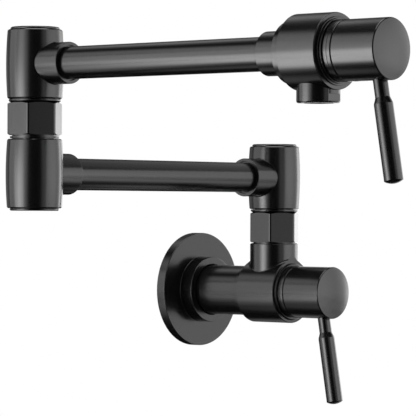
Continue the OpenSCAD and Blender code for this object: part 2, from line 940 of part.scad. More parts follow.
module retaining_washer() {
    color(steel_grey)
        ring(screw_d / 2 + fit_gap, cap_plug_r - washer_gap, post_top, post_top + washer_t);
}

module retaining_screw() {
    low = post_top + washer_t;
    color(steel_grey)
        difference() {
            union() {
                translate([0, 0, low])
                    cylinder(d = screw_head_d, h = screw_head_h);
                translate([0, 0, post_top - screw_l + end_gap])
                    cylinder(d = screw_d, h = screw_l + washer_t);
            }
            hex(screw_d, low + screw_head_h - socket_depth, low + screw_head_h + over);
        }
}

// Turns the shoulder barrel's collar towards -X and the upper elbow barrel's towards -Y
module shoulder_barrel() {
    at_shoulder()
        rotate([0, 0, 180])
            barrel(shoulder_collar_reach);
}

module elbow_upper_barrel() {
    at_elbow_high()
        rotate([0, 0, -90])
            barrel(elbow_collar_reach);
}

module elbow_lower_barrel() {
    at_elbow_low()
        rotate([180, 0, 0])
            barrel(elbow_collar_reach);
}

module elbow_post() {
    low = -shelf_z;
    high = arm_rise + post_top;
    color(raw_brass)
        at_elbow_low()
            difference() {
                translate([0, 0, low])
                    cylinder(r = post_r, h = high - low);
                post_gallery();
                translate([0, 0, arm_rise])
                    post_gallery();
                translate([0, 0, -gallery_h / 2])
                    cylinder(d = waterway_d, h = arm_rise + gallery_h);
                translate([0, 0, high - screw_l])
                    cylinder(d = screw_d + 2 * fit_gap, h = screw_l + over);
            }
}

module elbow_spacer_ring() {
    r = spacer_ring_d / 2;
    root = r - spacer_groove;
    lip = spacer_ring_h * spacer_lip_share;
    color(satin_black)
        at_elbow_low()
            turned([
                [post_r + fit_gap, barrel_top],
                [root, barrel_top],
                [root, barrel_top + lip],
                [r, barrel_top + lip],
                [r, barrel_top + spacer_ring_h - lip],
                [root, barrel_top + spacer_ring_h - lip],
                [root, barrel_top + spacer_ring_h],
                [post_r + fit_gap, barrel_top + spacer_ring_h]
            ]);
}

module elbow_hex_nut() {
    color(satin_black)
        at_elbow_low()
            hex_nut(barrel_top + spacer_ring_h, arm_rise - barrel_top - stack_h);
}

// Arm tubes, from the bottom of one socket to the bottom of the other
module tube(length) {
    difference() {
        cylinder(d = tube_d, h = length);
        translate([0, 0, -over])
            cylinder(d = tube_d - 2 * tube_wall, h = length + 2 * over);
    }
}

lower_tube_from = shoulder_collar_reach - tube_socket;
lower_tube_to = lower_arm_reach - elbow_collar_reach + tube_socket;
module lower_arm_tube() {
    color(satin_black)
        at_shoulder()
            translate([-lower_tube_from, 0, 0])
                rotate([0, -90, 0])
                    tube(lower_tube_to - lower_tube_from);
}

collar_thread_step = 1;
collar_thread_r = tube_d / 2 + collar_thread_step;
collar_thread_l = 5.5;
outlet_collar_back = upper_body_back + upper_ring_w + outlet_collar_l;
upper_tube_from = elbow_collar_reach - tube_socket;
upper_tube_to = upper_arm_reach - outlet_collar_back + tube_socket;
module upper_arm_tube() {
    color(satin_black)
        at_elbow_high()
            translate([0, -upper_tube_from, 0])
                rotate([90, 0, 0])
                    tube(upper_tube_to - upper_tube_from);
}

// Collar that screws into the upper body and takes the end of the upper tube
module upper_arm_collar() {
    back = -outlet_collar_back;
    front = -upper_body_back - upper_ring_w;
    color(satin_black)
        on_upper_valve()
            turned([
                [mouth_r, back],
                [collar_d / 2 - ring_edge, back],
                [collar_d / 2, back + ring_edge],
                [collar_d / 2, front],
                [collar_thread_r, front],
                [collar_thread_r, front + collar_thread_l],
                [waterway_d / 2, front + collar_thread_l],
                [waterway_d / 2, back + tube_socket],
                [collar_bore_r, back + tube_socket],
                [collar_bore_r, back + mouth_depth],
                [mouth_r, back + mouth_depth]
            ]);
}

// Outlet: housing with wrench flats, rubber washer and aerator insert
outlet_edge = 1.3;
outlet_lip = 1.5;
outlet_top_edge = 0.4;
insert_low = outlet_drop - outlet_lip;
aerator_bore_r = aerator_d / 2 + fit_gap;
aerator_lip_w = 1;
aerator_cell_share = 0.7;
module outlet_housing() {
    r = outlet_d / 2;
    flat_low = outlet_drop - outlet_edge - wrench_flat_h;
    color(satin_black)
        on_upper_valve()
            valve_down()
                difference() {
                    turned(concat(
                        [[aerator_bore_r, outlet_seat], [r - outlet_top_edge, outlet_seat]],
                        [[r, outlet_seat + outlet_top_edge]],
                        arc(r - outlet_edge, outlet_drop - outlet_edge, outlet_edge, 0, 90, corner_steps),
                        [[aerator_bore_r - aerator_lip_w, outlet_drop]],
                        [[aerator_bore_r - aerator_lip_w, insert_low], [aerator_bore_r, insert_low]]
                    ));
                    for (side = [0, 180])
                        rotate([0, 0, side])
                            translate([-outlet_d / 2, wrench_flat_w / 2, flat_low])
                                cube([outlet_d, outlet_d, wrench_flat_h]);
                }
}

module aerator_insert() {
    cells = 3;
    pitch = aerator_d / (2 * cells + 2);
    cell = pitch * aerator_cell_share;
    color(nylon_white)
        on_upper_valve()
            valve_down()
                difference() {
                    translate([0, 0, insert_low - aerator_h])
                        cylinder(d = aerator_d, h = aerator_h);
                    for (ix = [-cells:cells])
                        for (iy = [-cells:cells])
                            if (norm([ix, iy]) * pitch + cell < aerator_d / 2 - aerator_lip_w)
                                translate([ix * pitch - cell / 2, iy * pitch - cell / 2, insert_low - aerator_h - over])
                                    cube([cell, cell, aerator_h + 2 * over]);
                }
}

module aerator_washer() {
    color(seal_black)
        on_upper_valve()
            valve_down()
                ring(waterway_d / 2, aerator_d / 2, outlet_seat + outlet_nozzle_l, insert_low - aerator_h);
}

wall_flange();
flange_gasket();
flange_seal();
flange_screw();
lower_valve_body();
on_lower_valve() cartridge();  // lower_cartridge
on_lower_valve() seat_seal();  // lower_seat_seal
on_lower_valve() ceramic_disc(disc_low);  // lower_fixed_disc
on_lower_valve() trim_ring(lower_front, lower_lock_back, lower_trim_shares);  // lower_trim_ring
on_lower_valve() lock_ring(lower_lock_back);  // lower_lock_ring
on_lower_valve() stem();  // lower_stem
on_lower_valve() stem_seal();  // lower_stem_seal
on_lower_valve() moving_disc();  // lower_moving_disc
on_lower_valve() handle_hub();  // lower_handle_hub
on_lower_valve() lever();  // lower_lever
on_lower_valve() handle_screw();  // lower_handle_screw
shoulder_post();
shoulder_hex_nut();
at_shoulder() bearing_ring();  // shoulder_bearing_ring
color(seal_black) at_shoulder() post_seals();  // shoulder_seals
at_shoulder() retaining_washer();  // shoulder_washer
at_shoulder() retaining_screw();  // shoulder_screw
shoulder_barrel();
at_shoulder() barrel_cap();  // shoulder_cap
lower_arm_tube();
elbow_lower_barrel();
at_elbow_low() rotate([180, 0, 0]) barrel_cap();  // elbow_bottom_cap
elbow_post();
elbow_spacer_ring();
elbow_hex_nut();
at_elbow_high() bearing_ring();  // elbow_bearing_ring
color(seal_black) at_elbow_high() post_seals();  // elbow_seals
at_elbow_high() retaining_washer();  // elbow_washer
at_elbow_high() retaining_screw();  // elbow_screw
elbow_upper_barrel();
at_elbow_high() barrel_cap();  // elbow_cap
upper_arm_tube();
upper_arm_collar();
upper_valve_body();
on_upper_valve() cartridge();  // upper_cartridge
on_upper_valve() seat_seal();  // upper_seat_seal
on_upper_valve() ceramic_disc(disc_low);  // upper_fixed_disc
on_upper_valve() trim_ring(upper_body_front, upper_lock_back, upper_trim_shares);  // upper_trim_ring
on_upper_valve() lock_ring(upper_lock_back);  // upper_lock_ring
outlet_housing();
aerator_washer();
aerator_insert();
on_upper_valve() stem();  // upper_stem
on_upper_valve() stem_seal();  // upper_stem_seal
on_upper_valve() moving_disc();  // upper_moving_disc
on_upper_valve() handle_hub();  // upper_handle_hub
on_upper_valve() lever();  // upper_lever
on_upper_valve() handle_screw();  // upper_handle_screw
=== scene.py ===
"""Wall mounted pot filler in satin black: the visible pieces, their finishes, the studio and the camera."""

import json
import logging
import math
from abc import ABC, abstractmethod
from dataclasses import dataclass
from enum import Enum
from typing import Callable, NamedTuple, Sequence

import bmesh
import bpy
from mathutils import Matrix, Vector

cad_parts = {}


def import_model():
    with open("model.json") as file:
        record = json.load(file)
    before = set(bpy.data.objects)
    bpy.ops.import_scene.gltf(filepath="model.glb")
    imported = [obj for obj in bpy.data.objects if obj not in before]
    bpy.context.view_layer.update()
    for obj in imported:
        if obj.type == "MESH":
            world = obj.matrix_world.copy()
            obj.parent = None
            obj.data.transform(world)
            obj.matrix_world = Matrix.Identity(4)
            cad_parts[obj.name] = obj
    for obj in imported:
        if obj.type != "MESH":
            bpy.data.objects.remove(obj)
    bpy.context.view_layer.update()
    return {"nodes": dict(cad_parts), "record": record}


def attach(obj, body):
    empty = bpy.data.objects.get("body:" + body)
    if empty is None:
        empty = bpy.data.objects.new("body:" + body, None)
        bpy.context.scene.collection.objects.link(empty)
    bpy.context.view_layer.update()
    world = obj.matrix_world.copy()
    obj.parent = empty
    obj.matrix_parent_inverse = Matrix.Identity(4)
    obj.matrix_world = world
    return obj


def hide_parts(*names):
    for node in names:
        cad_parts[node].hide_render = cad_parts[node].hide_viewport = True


LOG = logging.getLogger("pot_filler")
MM = 0.001
# Facets round a turned piece, a lever and a small hole
TURN_STEPS, LEVER_STEPS, FINE_STEPS = 128, 96, 64
# How far a cutter reaches past the face that it cuts, in mm
PAST = 1.0
# The usual rounds on an edge in mm, and the steps across one and across a nut's upright edge
FINE, SMALL, BROAD = 0.15, 0.3, 0.5
ROUND_STEPS, NUT_ROUND_STEPS = 3, 4
# Distances in metres: welding on the axis, welding after a cut, and telling a ring of edges
AXIS_WELD, CUT_WELD, RING_NEAR = 1e-7, 1e-6, 2e-6
# Angles in degrees past which an edge stays sharp
TURNED_CREASE, CAP_CREASE, CAST_CREASE, HEX_CREASE = 40.0, 35.0, 30.0, 25.0
# How strongly a large face bends the normals at its edges, in percent
FLAT_WEIGHT = 80
# How bright two crossed fades u(1 - u) and v(1 - v) are in the middle of a panel
FADE_PEAK = 1 / 16

Form = bmesh.types.BMesh
Pair = tuple[float, float]
Triple = tuple[float, float, float]


class Body(Enum):
    """The moving bodies of the pot filler."""

    BASE = "base"
    LOWER_HANDLE = "lower_handle"
    LOWER_ARM = "lower_arm"
    UPPER_ARM = "upper_arm"
    UPPER_HANDLE = "upper_handle"


class Slot(Enum):
    """The material slots of the record."""

    BLACK = "satin_black"
    BRASS = "brass_raw"
    RUBBER = "seal_rubber"
    CERAMIC = "ceramic"
    STEEL = "steel"
    NYLON = "nylon"


class Cut(Enum):
    """How one solid changes another."""

    ADD = "UNION"
    TAKE = "DIFFERENCE"
    KEEP = "INTERSECT"


def linear(hex_code: str) -> tuple[float, float, float, float]:
    """Turns six sRGB hex digits into linear red, green and blue, and an alpha of one."""
    parts = [int(hex_code[i : i + 2], 16) / 255 for i in (0, 2, 4)]
    return tuple(p / 12.92 if p <= 0.04045 else ((p + 0.055) / 1.055) ** 2.4 for p in parts) + (1.0,)


def add_node(tree: bpy.types.NodeTree, kind: str, settings: dict | None = None, **links: object) -> bpy.types.Node:
    """Adds one node with its settings and its inputs.

    Args:
        tree: the node tree to add to.
        kind: the node's type name.
        settings: properties of the node.
        links: input names, with underscores for spaces, or "in" and a number, each with a socket or a value.

    Returns:
        The new node.
    """
    node = tree.nodes.new(kind)
    for key, value in (settings or {}).items():
        setattr(node, key, value)
    for key, value in links.items():
        name = key.replace("_", " ")
        slot = node.inputs[int(name[2:])] if name.startswith("in") and name[2:].isdigit() else node.inputs[name]
        if isinstance(value, bpy.types.NodeSocket):
            tree.links.new(value, slot)
        else:
            slot.default_value = value
    return node


def add_maths(tree: bpy.types.NodeTree, operation: str, first: object, second: object) -> bpy.types.NodeSocket:
    """Adds a maths node for two values or sockets, and returns its result's socket."""
    return add_node(tree, "ShaderNodeMath", {"operation": operation}, in0=first, in1=second).outputs[0]


def empty_tree(owner: bpy.types.ID) -> bpy.types.NodeTree:
    """Gives a material or a world an empty node tree.

    Args:
        owner: the material or the world.

    Returns:
        Its node tree.
    """
    owner.use_nodes = True
    owner.node_tree.nodes.clear()
    return owner.node_tree


def add_tint(tree: bpy.types.NodeTree, base: str, worn: str, cloud: bpy.types.Node) -> bpy.types.NodeSocket:
    """Mixes two sRGB hex colours by a noise and returns the colour's socket."""
    inputs = {"Factor": cloud.outputs["Fac"], "A": linear(base), "B": linear(worn)}
    return add_node(tree, "ShaderNodeMix", {"data_type": "RGBA"}, **inputs).outputs["Result"]


@dataclass(frozen=True)
class Finish:
    """A finish of one real material, with its own wear and grain."""

    name: str
    base: str
    worn: str
    roughness: float
    rough_spread: float
    metallic: float
    ior: float
    cloud_mm: float
    grain_mm: float
    bump_mm: float
    stretch: Triple = (1.0, 1.0, 1.0)

    def material(self) -> bpy.types.Material:
        """Builds the node material of this finish.

        Returns:
            The material, which reads Object coordinates in metres.
        """
        mat = bpy.data.materials.new(self.name)
        tree = empty_tree(mat)
        place = add_node(tree, "ShaderNodeTexCoord")
        scaled = add_node(tree, "ShaderNodeMapping", Vector=place.outputs["Object"], Scale=self.stretch)
        point = scaled.outputs["Vector"]
        cloud_scale, grain_scale = 1 / (self.cloud_mm * MM), 1 / (self.grain_mm * MM)
        cloud = add_node(tree, "ShaderNodeTexNoise", Vector=point, Scale=cloud_scale, Detail=3.0, Roughness=0.55)
        grain = add_node(tree, "ShaderNodeTexNoise", Vector=point, Scale=grain_scale, Detail=2.0, Roughness=0.5)
        tint = add_tint(tree, self.base, self.worn, cloud)
        rough = add_node(
            tree, "ShaderNodeMapRange", Value=cloud.outputs["Fac"],
            To_Min=self.roughness - self.rough_spread, To_Max=self.roughness + self.rough_spread,
        )
        bump = add_node(tree, "ShaderNodeBump", Height=grain.outputs["Fac"], Strength=0.5, Distance=self.bump_mm * MM)
        shader = add_node(
            tree, "ShaderNodeBsdfPrincipled", Base_Color=tint, Roughness=rough.outputs["Result"],
            Metallic=self.metallic, IOR=self.ior, Normal=bump.outputs["Normal"],
        )
        add_node(tree, "ShaderNodeOutputMaterial", Surface=shader.outputs["BSDF"])
        return mat


FINISHES: dict[Slot, Finish] = {
    # Satin black coat, sprayed and baked over brass: a smooth dark skin with a faint orange peel
    Slot.BLACK: Finish("satin_black_coat", "0B0B0C", "0D0D0E", 0.22, 0.01, 0.0, 1.75, 60.0, 1.2, 0.0004),
    # Free-cutting brass, turned and left bare: warm, with a faint lathe grain
    Slot.BRASS: Finish("turned_brass", "C9A75C", "B8924A", 0.28, 0.06, 1.0, 1.5, 9.0, 0.5, 0.006, (1.0, 1.0, 4.0)),
    # Nitrile rubber, moulded: dull black
    Slot.RUBBER: Finish("moulded_nitrile", "161616", "1E1D1C", 0.62, 0.06, 0.0, 1.52, 6.0, 0.4, 0.01),
    # Alumina, fired and lapped: white and smooth
    Slot.CERAMIC: Finish("lapped_alumina", "EDEBE4", "E2DED4", 0.22, 0.04, 0.0, 1.76, 5.0, 0.5, 0.002),
    # Stainless steel, turned: grey with a fine grain round the piece
    Slot.STEEL: Finish("turned_stainless", "B4B4B8", "9C9CA2", 0.3, 0.06, 1.0, 1.5, 6.0, 0.4, 0.006, (1.0, 1.0, 5.0)),
    # Acetal, moulded: an off-white plastic
    Slot.NYLON: Finish("moulded_acetal", "DAD9D2", "CFCDC4", 0.42, 0.05, 0.0, 1.48, 8.0, 0.5, 0.006),
}


class Corner(NamedTuple):
    """A corner of a turned outline: its radius and height, and the round on it, all in mm."""

    radius: float
    height: float
    round: float = 0.0


def arc(radius: float, height: float, swing: float, start: float, end: float, count: int) -> list[Corner]:
    """Corners along an arc about (radius, height), from one angle to another in degrees from outwards."""
    angles = [math.radians(start + (end - start) * i / count) for i in range(count + 1)]
    return [Corner(radius + swing * math.cos(a), height + swing * math.sin(a)) for a in angles]


def domed(half: float, rim: float, rise: float, count: int) -> list[Corner]:
    """Corners of a shallow dome from its rim, at a radius and a height, to its middle."""
    swing = (half**2 + rise**2) / (2 * rise)
    return arc(0, rim + rise - swing, swing, 90 - math.degrees(math.asin(half / swing)), 90, count)


def turned(outline: Sequence[tuple[float, ...]], steps: int = TURN_STEPS) -> Form:
    """Turns a half outline about Z, and rounds its corners.

    Args:
        outline: what each Corner holds, closed on itself unless it starts and ends on the axis.
        steps: the number of facets round the axis.

    Returns:
        A closed mesh.
    """
    corners = [Corner(*spot) for spot in outline]
    form = bmesh.new()
    points = [form.verts.new((c.radius * MM, 0, c.height * MM)) for c in corners]
    lines = [form.edges.new(pair) for pair in zip(points, points[1:])]
    if corners[0].radius > 0 or corners[-1].radius > 0:
        lines.append(form.edges.new((points[-1], points[0])))
    bmesh.ops.spin(
        form, geom=points + lines, cent=(0, 0, 0), axis=(0, 0, 1), dvec=(0, 0, 0), angle=math.tau, steps=steps,
        use_merge=True, use_normal_flip=False, use_duplicate=False,
    )
    bmesh.ops.remove_doubles(form, verts=form.verts, dist=AXIS_WELD)
    for width in sorted({c.round for c in corners if c.round > 0}):
        marks = [c for c in corners if c.round == width]
        rounded(form, [e for e in form.edges if any(on_ring(e, mark) for mark in marks)], width, ROUND_STEPS)
    bmesh.ops.recalc_face_normals(form, faces=form.faces)
    return form


def stepped(low: float, *steps: Pair) -> Form:
    """A stepped solid about Z that starts at a height, with the radius of each step and the height where it ends."""
    ends = [low, *(high for _, high in steps)]
    return turned([(0, low), *((r, z) for (r, high), foot in zip(steps, ends) for z in (foot, high)), (0, ends[-1])])


def on_ring(edge: bmesh.types.BMEdge, corner: Corner) -> bool:
    """Tells whether an edge lies on the ring that a corner makes.

    Args:
        edge: the edge.
        corner: the corner of the outline.

    Returns:
        True where both ends lie on the ring.
    """
    radius, height = corner.radius * MM, corner.height * MM
    return all(
        abs(math.hypot(v.co.x, v.co.y) - radius) < RING_NEAR and abs(v.co.z - height) < RING_NEAR for v in edge.verts
    )


def rounded(form: Form, edges: list[bmesh.types.BMEdge], width: float, segments: int) -> None:
    """Rounds some edges of a mesh.

    Args:
        form: the mesh.
        edges: the edges to round.
        width: the width of the round in mm.
        segments: the steps across it.
    """
    bmesh.ops.bevel(
        form, geom=edges, offset=width * MM, offset_type="OFFSET", segments=segments, profile=0.5, affect="EDGES",
        clamp_overlap=True, material=-1,
    )


def made(operator: Callable[..., object], **settings: object) -> Form:
    """A new mesh from one bmesh operator.

    Args:
        operator: the operator.
        settings: its settings.

    Returns:
        The mesh.
    """
    form = bmesh.new()
    operator(form, **settings)
    return form


def moved(form: Form, matrix: Matrix) -> Form:
    """Places a mesh with a matrix and returns it."""
    bmesh.ops.transform(form, matrix=matrix, verts=form.verts)
    return form


def box(low: Triple, high: Triple) -> Form:
    """A block between two corners in mm."""
    size = Matrix.Diagonal([(b - a) * MM for a, b in zip(low, high)] + [1])
    return made(bmesh.ops.create_cube, size=1.0, matrix=at(*((a + b) / 2 for a, b in zip(low, high))) @ size)


def rod(radius: float, low: float, high: float, steps: int = TURN_STEPS) -> Form:
    """A plain round rod about Z.

    Args:
        radius: its radius in mm.
        low: the lower height in mm.
        high: the upper height in mm.
        steps: the facets round it.

    Returns:
        The closed rod.
    """
    return made(
        bmesh.ops.create_cone, cap_ends=True, cap_tris=False, segments=steps, radius1=radius * MM, radius2=radius * MM,
        depth=(high - low) * MM, matrix=at(0, 0, (low + high) / 2),
    )


def to_object(form: Form, name: str) -> bpy.types.Object:
    """Puts a mesh into a new object.

    Args:
        form: the mesh, which is freed.
        name: the name of the object and its mesh data.

    Returns:
        The new object, at the origin.
    """
    mesh = bpy.data.meshes.new(name)
    form.to_mesh(mesh)
    form.free()
    obj = bpy.data.objects.new(name, mesh)
    bpy.context.scene.collection.objects.link(obj)
    return obj


def combined(base: Form, *steps: tuple[Cut, Form]) -> Form:
    """Adds, takes or keeps solids, one after another.

    Args:
        base: the solid to start from.
        steps: pairs of a cut and the solid that makes it.

    Returns:
        The finished solid.
    """
    work = to_object(base, "work")
    tools = []
    for cut, form in steps:
        tool = to_object(form, "tool")
        tools.append(tool)
        change = work.modifiers.new("cut", "BOOLEAN")
        change.operation = cut.value
        change.solver = "EXACT"
        change.object = tool
    graph = bpy.context.evaluated_depsgraph_get()
    result = bmesh.new()
    result.from_mesh(work.evaluated_get(graph).to_mesh())
    for obj in [work, *tools]:
        mesh = obj.data
        bpy.data.objects.remove(obj)
        bpy.data.meshes.remove(mesh)
    bmesh.ops.remove_doubles(result, verts=result.verts, dist=CUT_WELD)
    bmesh.ops.dissolve_degenerate(result, dist=CUT_WELD, edges=result.edges)
    return result


# Each frame's +Z is the axis that its pieces are turned about.
# These turn +Z from up to away from the wall, and in a valve's frame to down and up.
OUTWARDS = DOWN = Matrix.Rotation(math.pi / 2, 4, "X")
UP = Matrix.Rotation(-math.pi / 2, 4, "X")


def at(x: float, y: float, z: float) -> Matrix:
    """A move to a place in mm."""
    return Matrix.Translation((x * MM, y * MM, z * MM))


@dataclass(frozen=True)
class Layout:
    """The sizes that place the sub-assemblies, in mm."""

    wall_to_shoulder: float = 83.5
    lower_arm_reach: float = 269.0
    upper_arm_reach: float = 257.5
    valve_to_arm: float = 89.2
    arm_rise: float = 77.8

    @property
    def lower_valve(self) -> Matrix:
        """The lower valve's frame, with its axis out from the wall."""
        return at(0, -self.wall_to_shoulder, 0) @ OUTWARDS

    @property
    def upper_valve(self) -> Matrix:
        """The upper valve's frame."""
        reach = self.wall_to_shoulder + self.upper_arm_reach
        return at(-self.lower_arm_reach, -reach, self.valve_to_arm + self.arm_rise) @ OUTWARDS

    @property
    def shoulder(self) -> Matrix:
        """The shoulder axis at the lower arm's height."""
        return at(0, -self.wall_to_shoulder, self.valve_to_arm)

    def elbow(self, rise: float) -> Matrix:
        """The elbow axis, so far above the lower arm's height."""
        return at(-self.lower_arm_reach, -self.wall_to_shoulder, self.valve_to_arm + rise)


LAYOUT = Layout()


class Workshop:
    """Dresses pieces and keeps one material for each slot."""

    def __init__(self) -> None:
        """Builds the materials."""
        self.materials = {slot: finish.material() for slot, finish in FINISHES.items()}
        self.replaced: set[str] = set()

    def finish(
        self, form: Form, place: Matrix, node: str, making: str, body: Body, crease: float = TURNED_CREASE
    ) -> None:
        """Turns a finished form into a black piece that stands for a CAD node.

        Args:
            form: the piece in its own frame.
            place: the frame's place.
            node: the CAD node that it stands for.
            making: how it was made, which ends its name.
            body: the body that it rides on.
            crease: the angle in degrees past which an edge stays sharp.
        """
        piece = to_object(moved(form, place), f"{node}_{making}")
        piece.data.shade_smooth()
        piece.data.set_sharp_from_angle(angle=math.radians(crease))
        flats = piece.modifiers.new("flat faces stay flat", "WEIGHTED_NORMAL")
        flats.keep_sharp = True
        flats.weight = FLAT_WEIGHT
        slot = Slot.BLACK
        piece.data.materials.append(self.materials[slot])
        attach(piece, body.value)
        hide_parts(node)
        self.replaced.add(node)
        LOG.info("%s: %d faces", piece.name, len(piece.data.polygons))

    def dress(self, nodes: dict[str, bpy.types.Object], slots: dict[str, str]) -> None:
        """Gives each CAD node that still shows its finish.

        Args:
            nodes: the frame's nodes.
            slots: the material slot of each node.
        """
        for name, obj in nodes.items():
            if name in self.replaced:
                continue
            material = self.materials[Slot(slots[name])]
            if not obj.material_slots:
                obj.data.materials.append(material)
            for place in obj.material_slots:
                place.material = material


class Maker(ABC):
    """One sub-assembly of the pot filler."""

    @abstractmethod
    def build(self, shop: Workshop) -> None:
        """Makes the sub-assembly's pieces in the workshop, which places and finishes them."""


@dataclass
class WallFlange(Maker):
    """The round flange on the wall, with its boss and its hollow back."""

    radius: float = 45.25
    thickness: float = 8.0
    wall: float = 3.0
    boss_radius: float = 26.0
    boss_reach: float = 19.5
    land: float = 10.0
    bore: float = 20.4
    rim: float = 9.0
    back_edge: float = 0.4
    boss_root: float = 0.35
    hollow_edges: Pair = (0.6, 0.8)
    groove: Triple = (38.65, 42.85, 2.0)
    seal_groove: Triple = (22.05, 15.6, 18.2)
    screw_height: float = 12.3
    screw_radius: float = 2.1

    def build(self, shop: Workshop) -> None:
        """Makes the flange.

        Args:
            shop: the workshop that places and finishes them.
        """
        inner, hollow, back = self.radius - self.rim, self.boss_radius - self.wall, self.boss_reach - self.land
        groove_in, groove_out, groove_depth = self.groove
        seal_out, seal_low, seal_high = self.seal_groove
        top_edge, low_edge = self.hollow_edges
        face = self.thickness - self.wall
        form = turned([
            (inner, 0, SMALL), (groove_in, 0), (groove_in, groove_depth),
            (groove_out, groove_depth), (groove_out, 0), (self.radius, 0, self.back_edge),
            (self.radius, self.thickness, BROAD), (self.boss_radius, self.thickness, self.boss_root),
            (self.boss_radius, self.boss_reach, BROAD), (self.bore, self.boss_reach, SMALL),
            (self.bore, seal_high), (seal_out, seal_high), (seal_out, seal_low),
            (self.bore, seal_low), (self.bore, back, SMALL), (hollow, back, top_edge),
            (hollow, face, low_edge), (inner, face, low_edge),
        ])
        hole = rod(self.screw_radius, 0, self.boss_radius + PAST, FINE_STEPS)
        form = combined(form, (Cut.TAKE, moved(hole, at(0, 0, self.screw_height) @ DOWN)))
        shop.finish(form, OUTWARDS, "wall_flange", "turned", Body.BASE)


@dataclass(frozen=True)
class Cavity:
    """The stepped bore that holds a cartridge, in a valve's frame."""

    seat: float = -9.0
    seat_port: float = 6.0
    seat_lip: float = 4.0
    radius: float = 11.0
    thread_start: float = 4.0
    thread_radius: float = 12.0
    thread_end: float = 12.0
    pocket: float = 15.0

    @property
    def low(self) -> float:
        """The height where the port under the seat meets the waterway."""
        return self.seat - self.seat_lip

    def cutter(self, front: float) -> Form:
        """The cutter of the whole bore.

        Args:
            front: the height of the body's front face, which it reaches past.

        Returns:
            The closed cutter.
        """
        return stepped(
            self.low - PAST, (self.seat_port, self.seat), (self.radius, self.thread_start),
            (self.thread_radius, self.thread_end), (self.pocket, front + PAST),
        )


def fillet_ring(neck: float, body: float, fillet: float, pinch: float = 0.0) -> Form:
    """The fillet between an upright neck and a body that lies along Y, as the space a rolling ball leaves.

    Args:
        neck: the neck's radius in mm.
        body: the body's radius at the neck's axis.
        fillet: the ball's radius.
        pinch: how fast the body narrows with the square of the distance along it, per mm.

    Returns:
        The closed ring, slightly sunk into both.
    """
    form = bmesh.new()
    # Steps round the neck and across the fillet, then how far it sinks in and how thick its root is, in mm
    turns, bends, sink, root = 144, 8, 0.05, min(1.5, 2 * fillet)
    rings: list[list[bmesh.types.BMVert]] = []
    ball = fillet + sink
    for i in range(turns):
        a = math.tau * i / turns
        x, y = (neck + fillet) * math.sin(a), (neck + fillet) * math.cos(a)
        reach = body - pinch * y * y + fillet
        centre = Vector((x, y, math.sqrt(reach**2 - x * x)))
        to_neck = Vector((-math.sin(a), -math.cos(a), 0))
        to_body = Vector((-centre.x, 0, -centre.z)).normalized()
        bend = to_neck.angle(to_body)
        side = (to_body - to_neck * math.cos(bend)) / math.sin(bend)
        spots = [
            centre + ball * (to_neck * math.cos(bend * j / bends) + side * math.sin(bend * j / bends))
            for j in range(bends + 1)
        ]
        deep = ball + root
        spots += [centre + to_body * deep, centre + (to_neck + to_body) * deep, centre + to_neck * deep]
        rings.append([form.verts.new(spot * MM) for spot in spots])
    for one, two in zip(rings, rings[1:] + rings[:1]):
        count = len(one)
        for j in range(count):
            form.faces.new((one[j], two[j], two[(j + 1) % count], one[(j + 1) % count]))
    bmesh.ops.recalc_face_normals(form, faces=form.faces)
    return form


@dataclass
class ValveBody(Maker):
    """What both valve bodies share: the shoulder ring's radius and root, the face's bevel and the bores."""

    ring: float = 20.8
    ring_root: float = 0.2
    bevel: float = 0.6
    waterway: float = 8.0
    waterway_start: float = 15.0
    cavity: Cavity = Cavity()


@dataclass
class LowerValve(ValveBody):
    """The lower valve body: shank, shoulder ring, body and tee neck."""

    shank: float = 19.5
    ring_width: float = 6.0
    radius: float = 24.5
    half: float = 18.5
    neck: float = 18.9
    neck_top: float = 37.4
    fillet: float = 2.6
    facing: float = 27.0
    inlet: float = 9.3
    inlet_depth: float = 16.0
    neck_thread: float = 10.5
    neck_thread_depth: float = 13.0
    neck_edge: float = 0.4
    shank_edge: float = 0.8
    overlap: float = 1.0

    def build(self, shop: Workshop) -> None:
        """Makes the body.

        Args:
            shop: the workshop that places and finishes them.
        """
        core = turned([
            (0, -self.half), (self.radius, -self.half, self.bevel / 2),
            (self.radius, self.half, self.bevel), (0, self.half),
        ])
        top = self.neck_top
        neck = turned([(0, 0), (self.neck, 0), (self.neck, top, self.neck_edge), (0, top)])
        fillet = fillet_ring(self.neck, self.radius, self.fillet)
        front = rod(self.facing, self.half, self.half + 2 * self.neck)
        rear = rod(self.facing, -self.half - 2 * self.neck, -self.half)
        back = -self.half - self.ring_width
        wall = -LAYOUT.wall_to_shoulder
        shank = turned([
            (0, wall), (self.shank, wall, self.shank_edge), (self.shank, back, self.ring_root),
            (self.ring, back, BROAD), (self.ring, -self.half + self.overlap),
            (0, -self.half + self.overlap),
        ])
        inner, thread = wall + self.inlet_depth, top - self.neck_thread_depth
        inlet = stepped(wall - PAST, (self.inlet, inner), (self.waterway, self.cavity.low))
        up = stepped(self.waterway_start, (self.waterway, thread), (self.neck_thread, top + PAST))
        form = combined(
            core, (Cut.ADD, moved(neck, UP)), (Cut.ADD, moved(fillet, UP)), (Cut.TAKE, front), (Cut.TAKE, rear),
            (Cut.ADD, shank), (Cut.TAKE, inlet), (Cut.TAKE, self.cavity.cutter(self.half)), (Cut.TAKE, moved(up, UP)),
        )
        shop.finish(form, LAYOUT.lower_valve, "lower_valve_body", "cast", Body.BASE, CAST_CREASE)


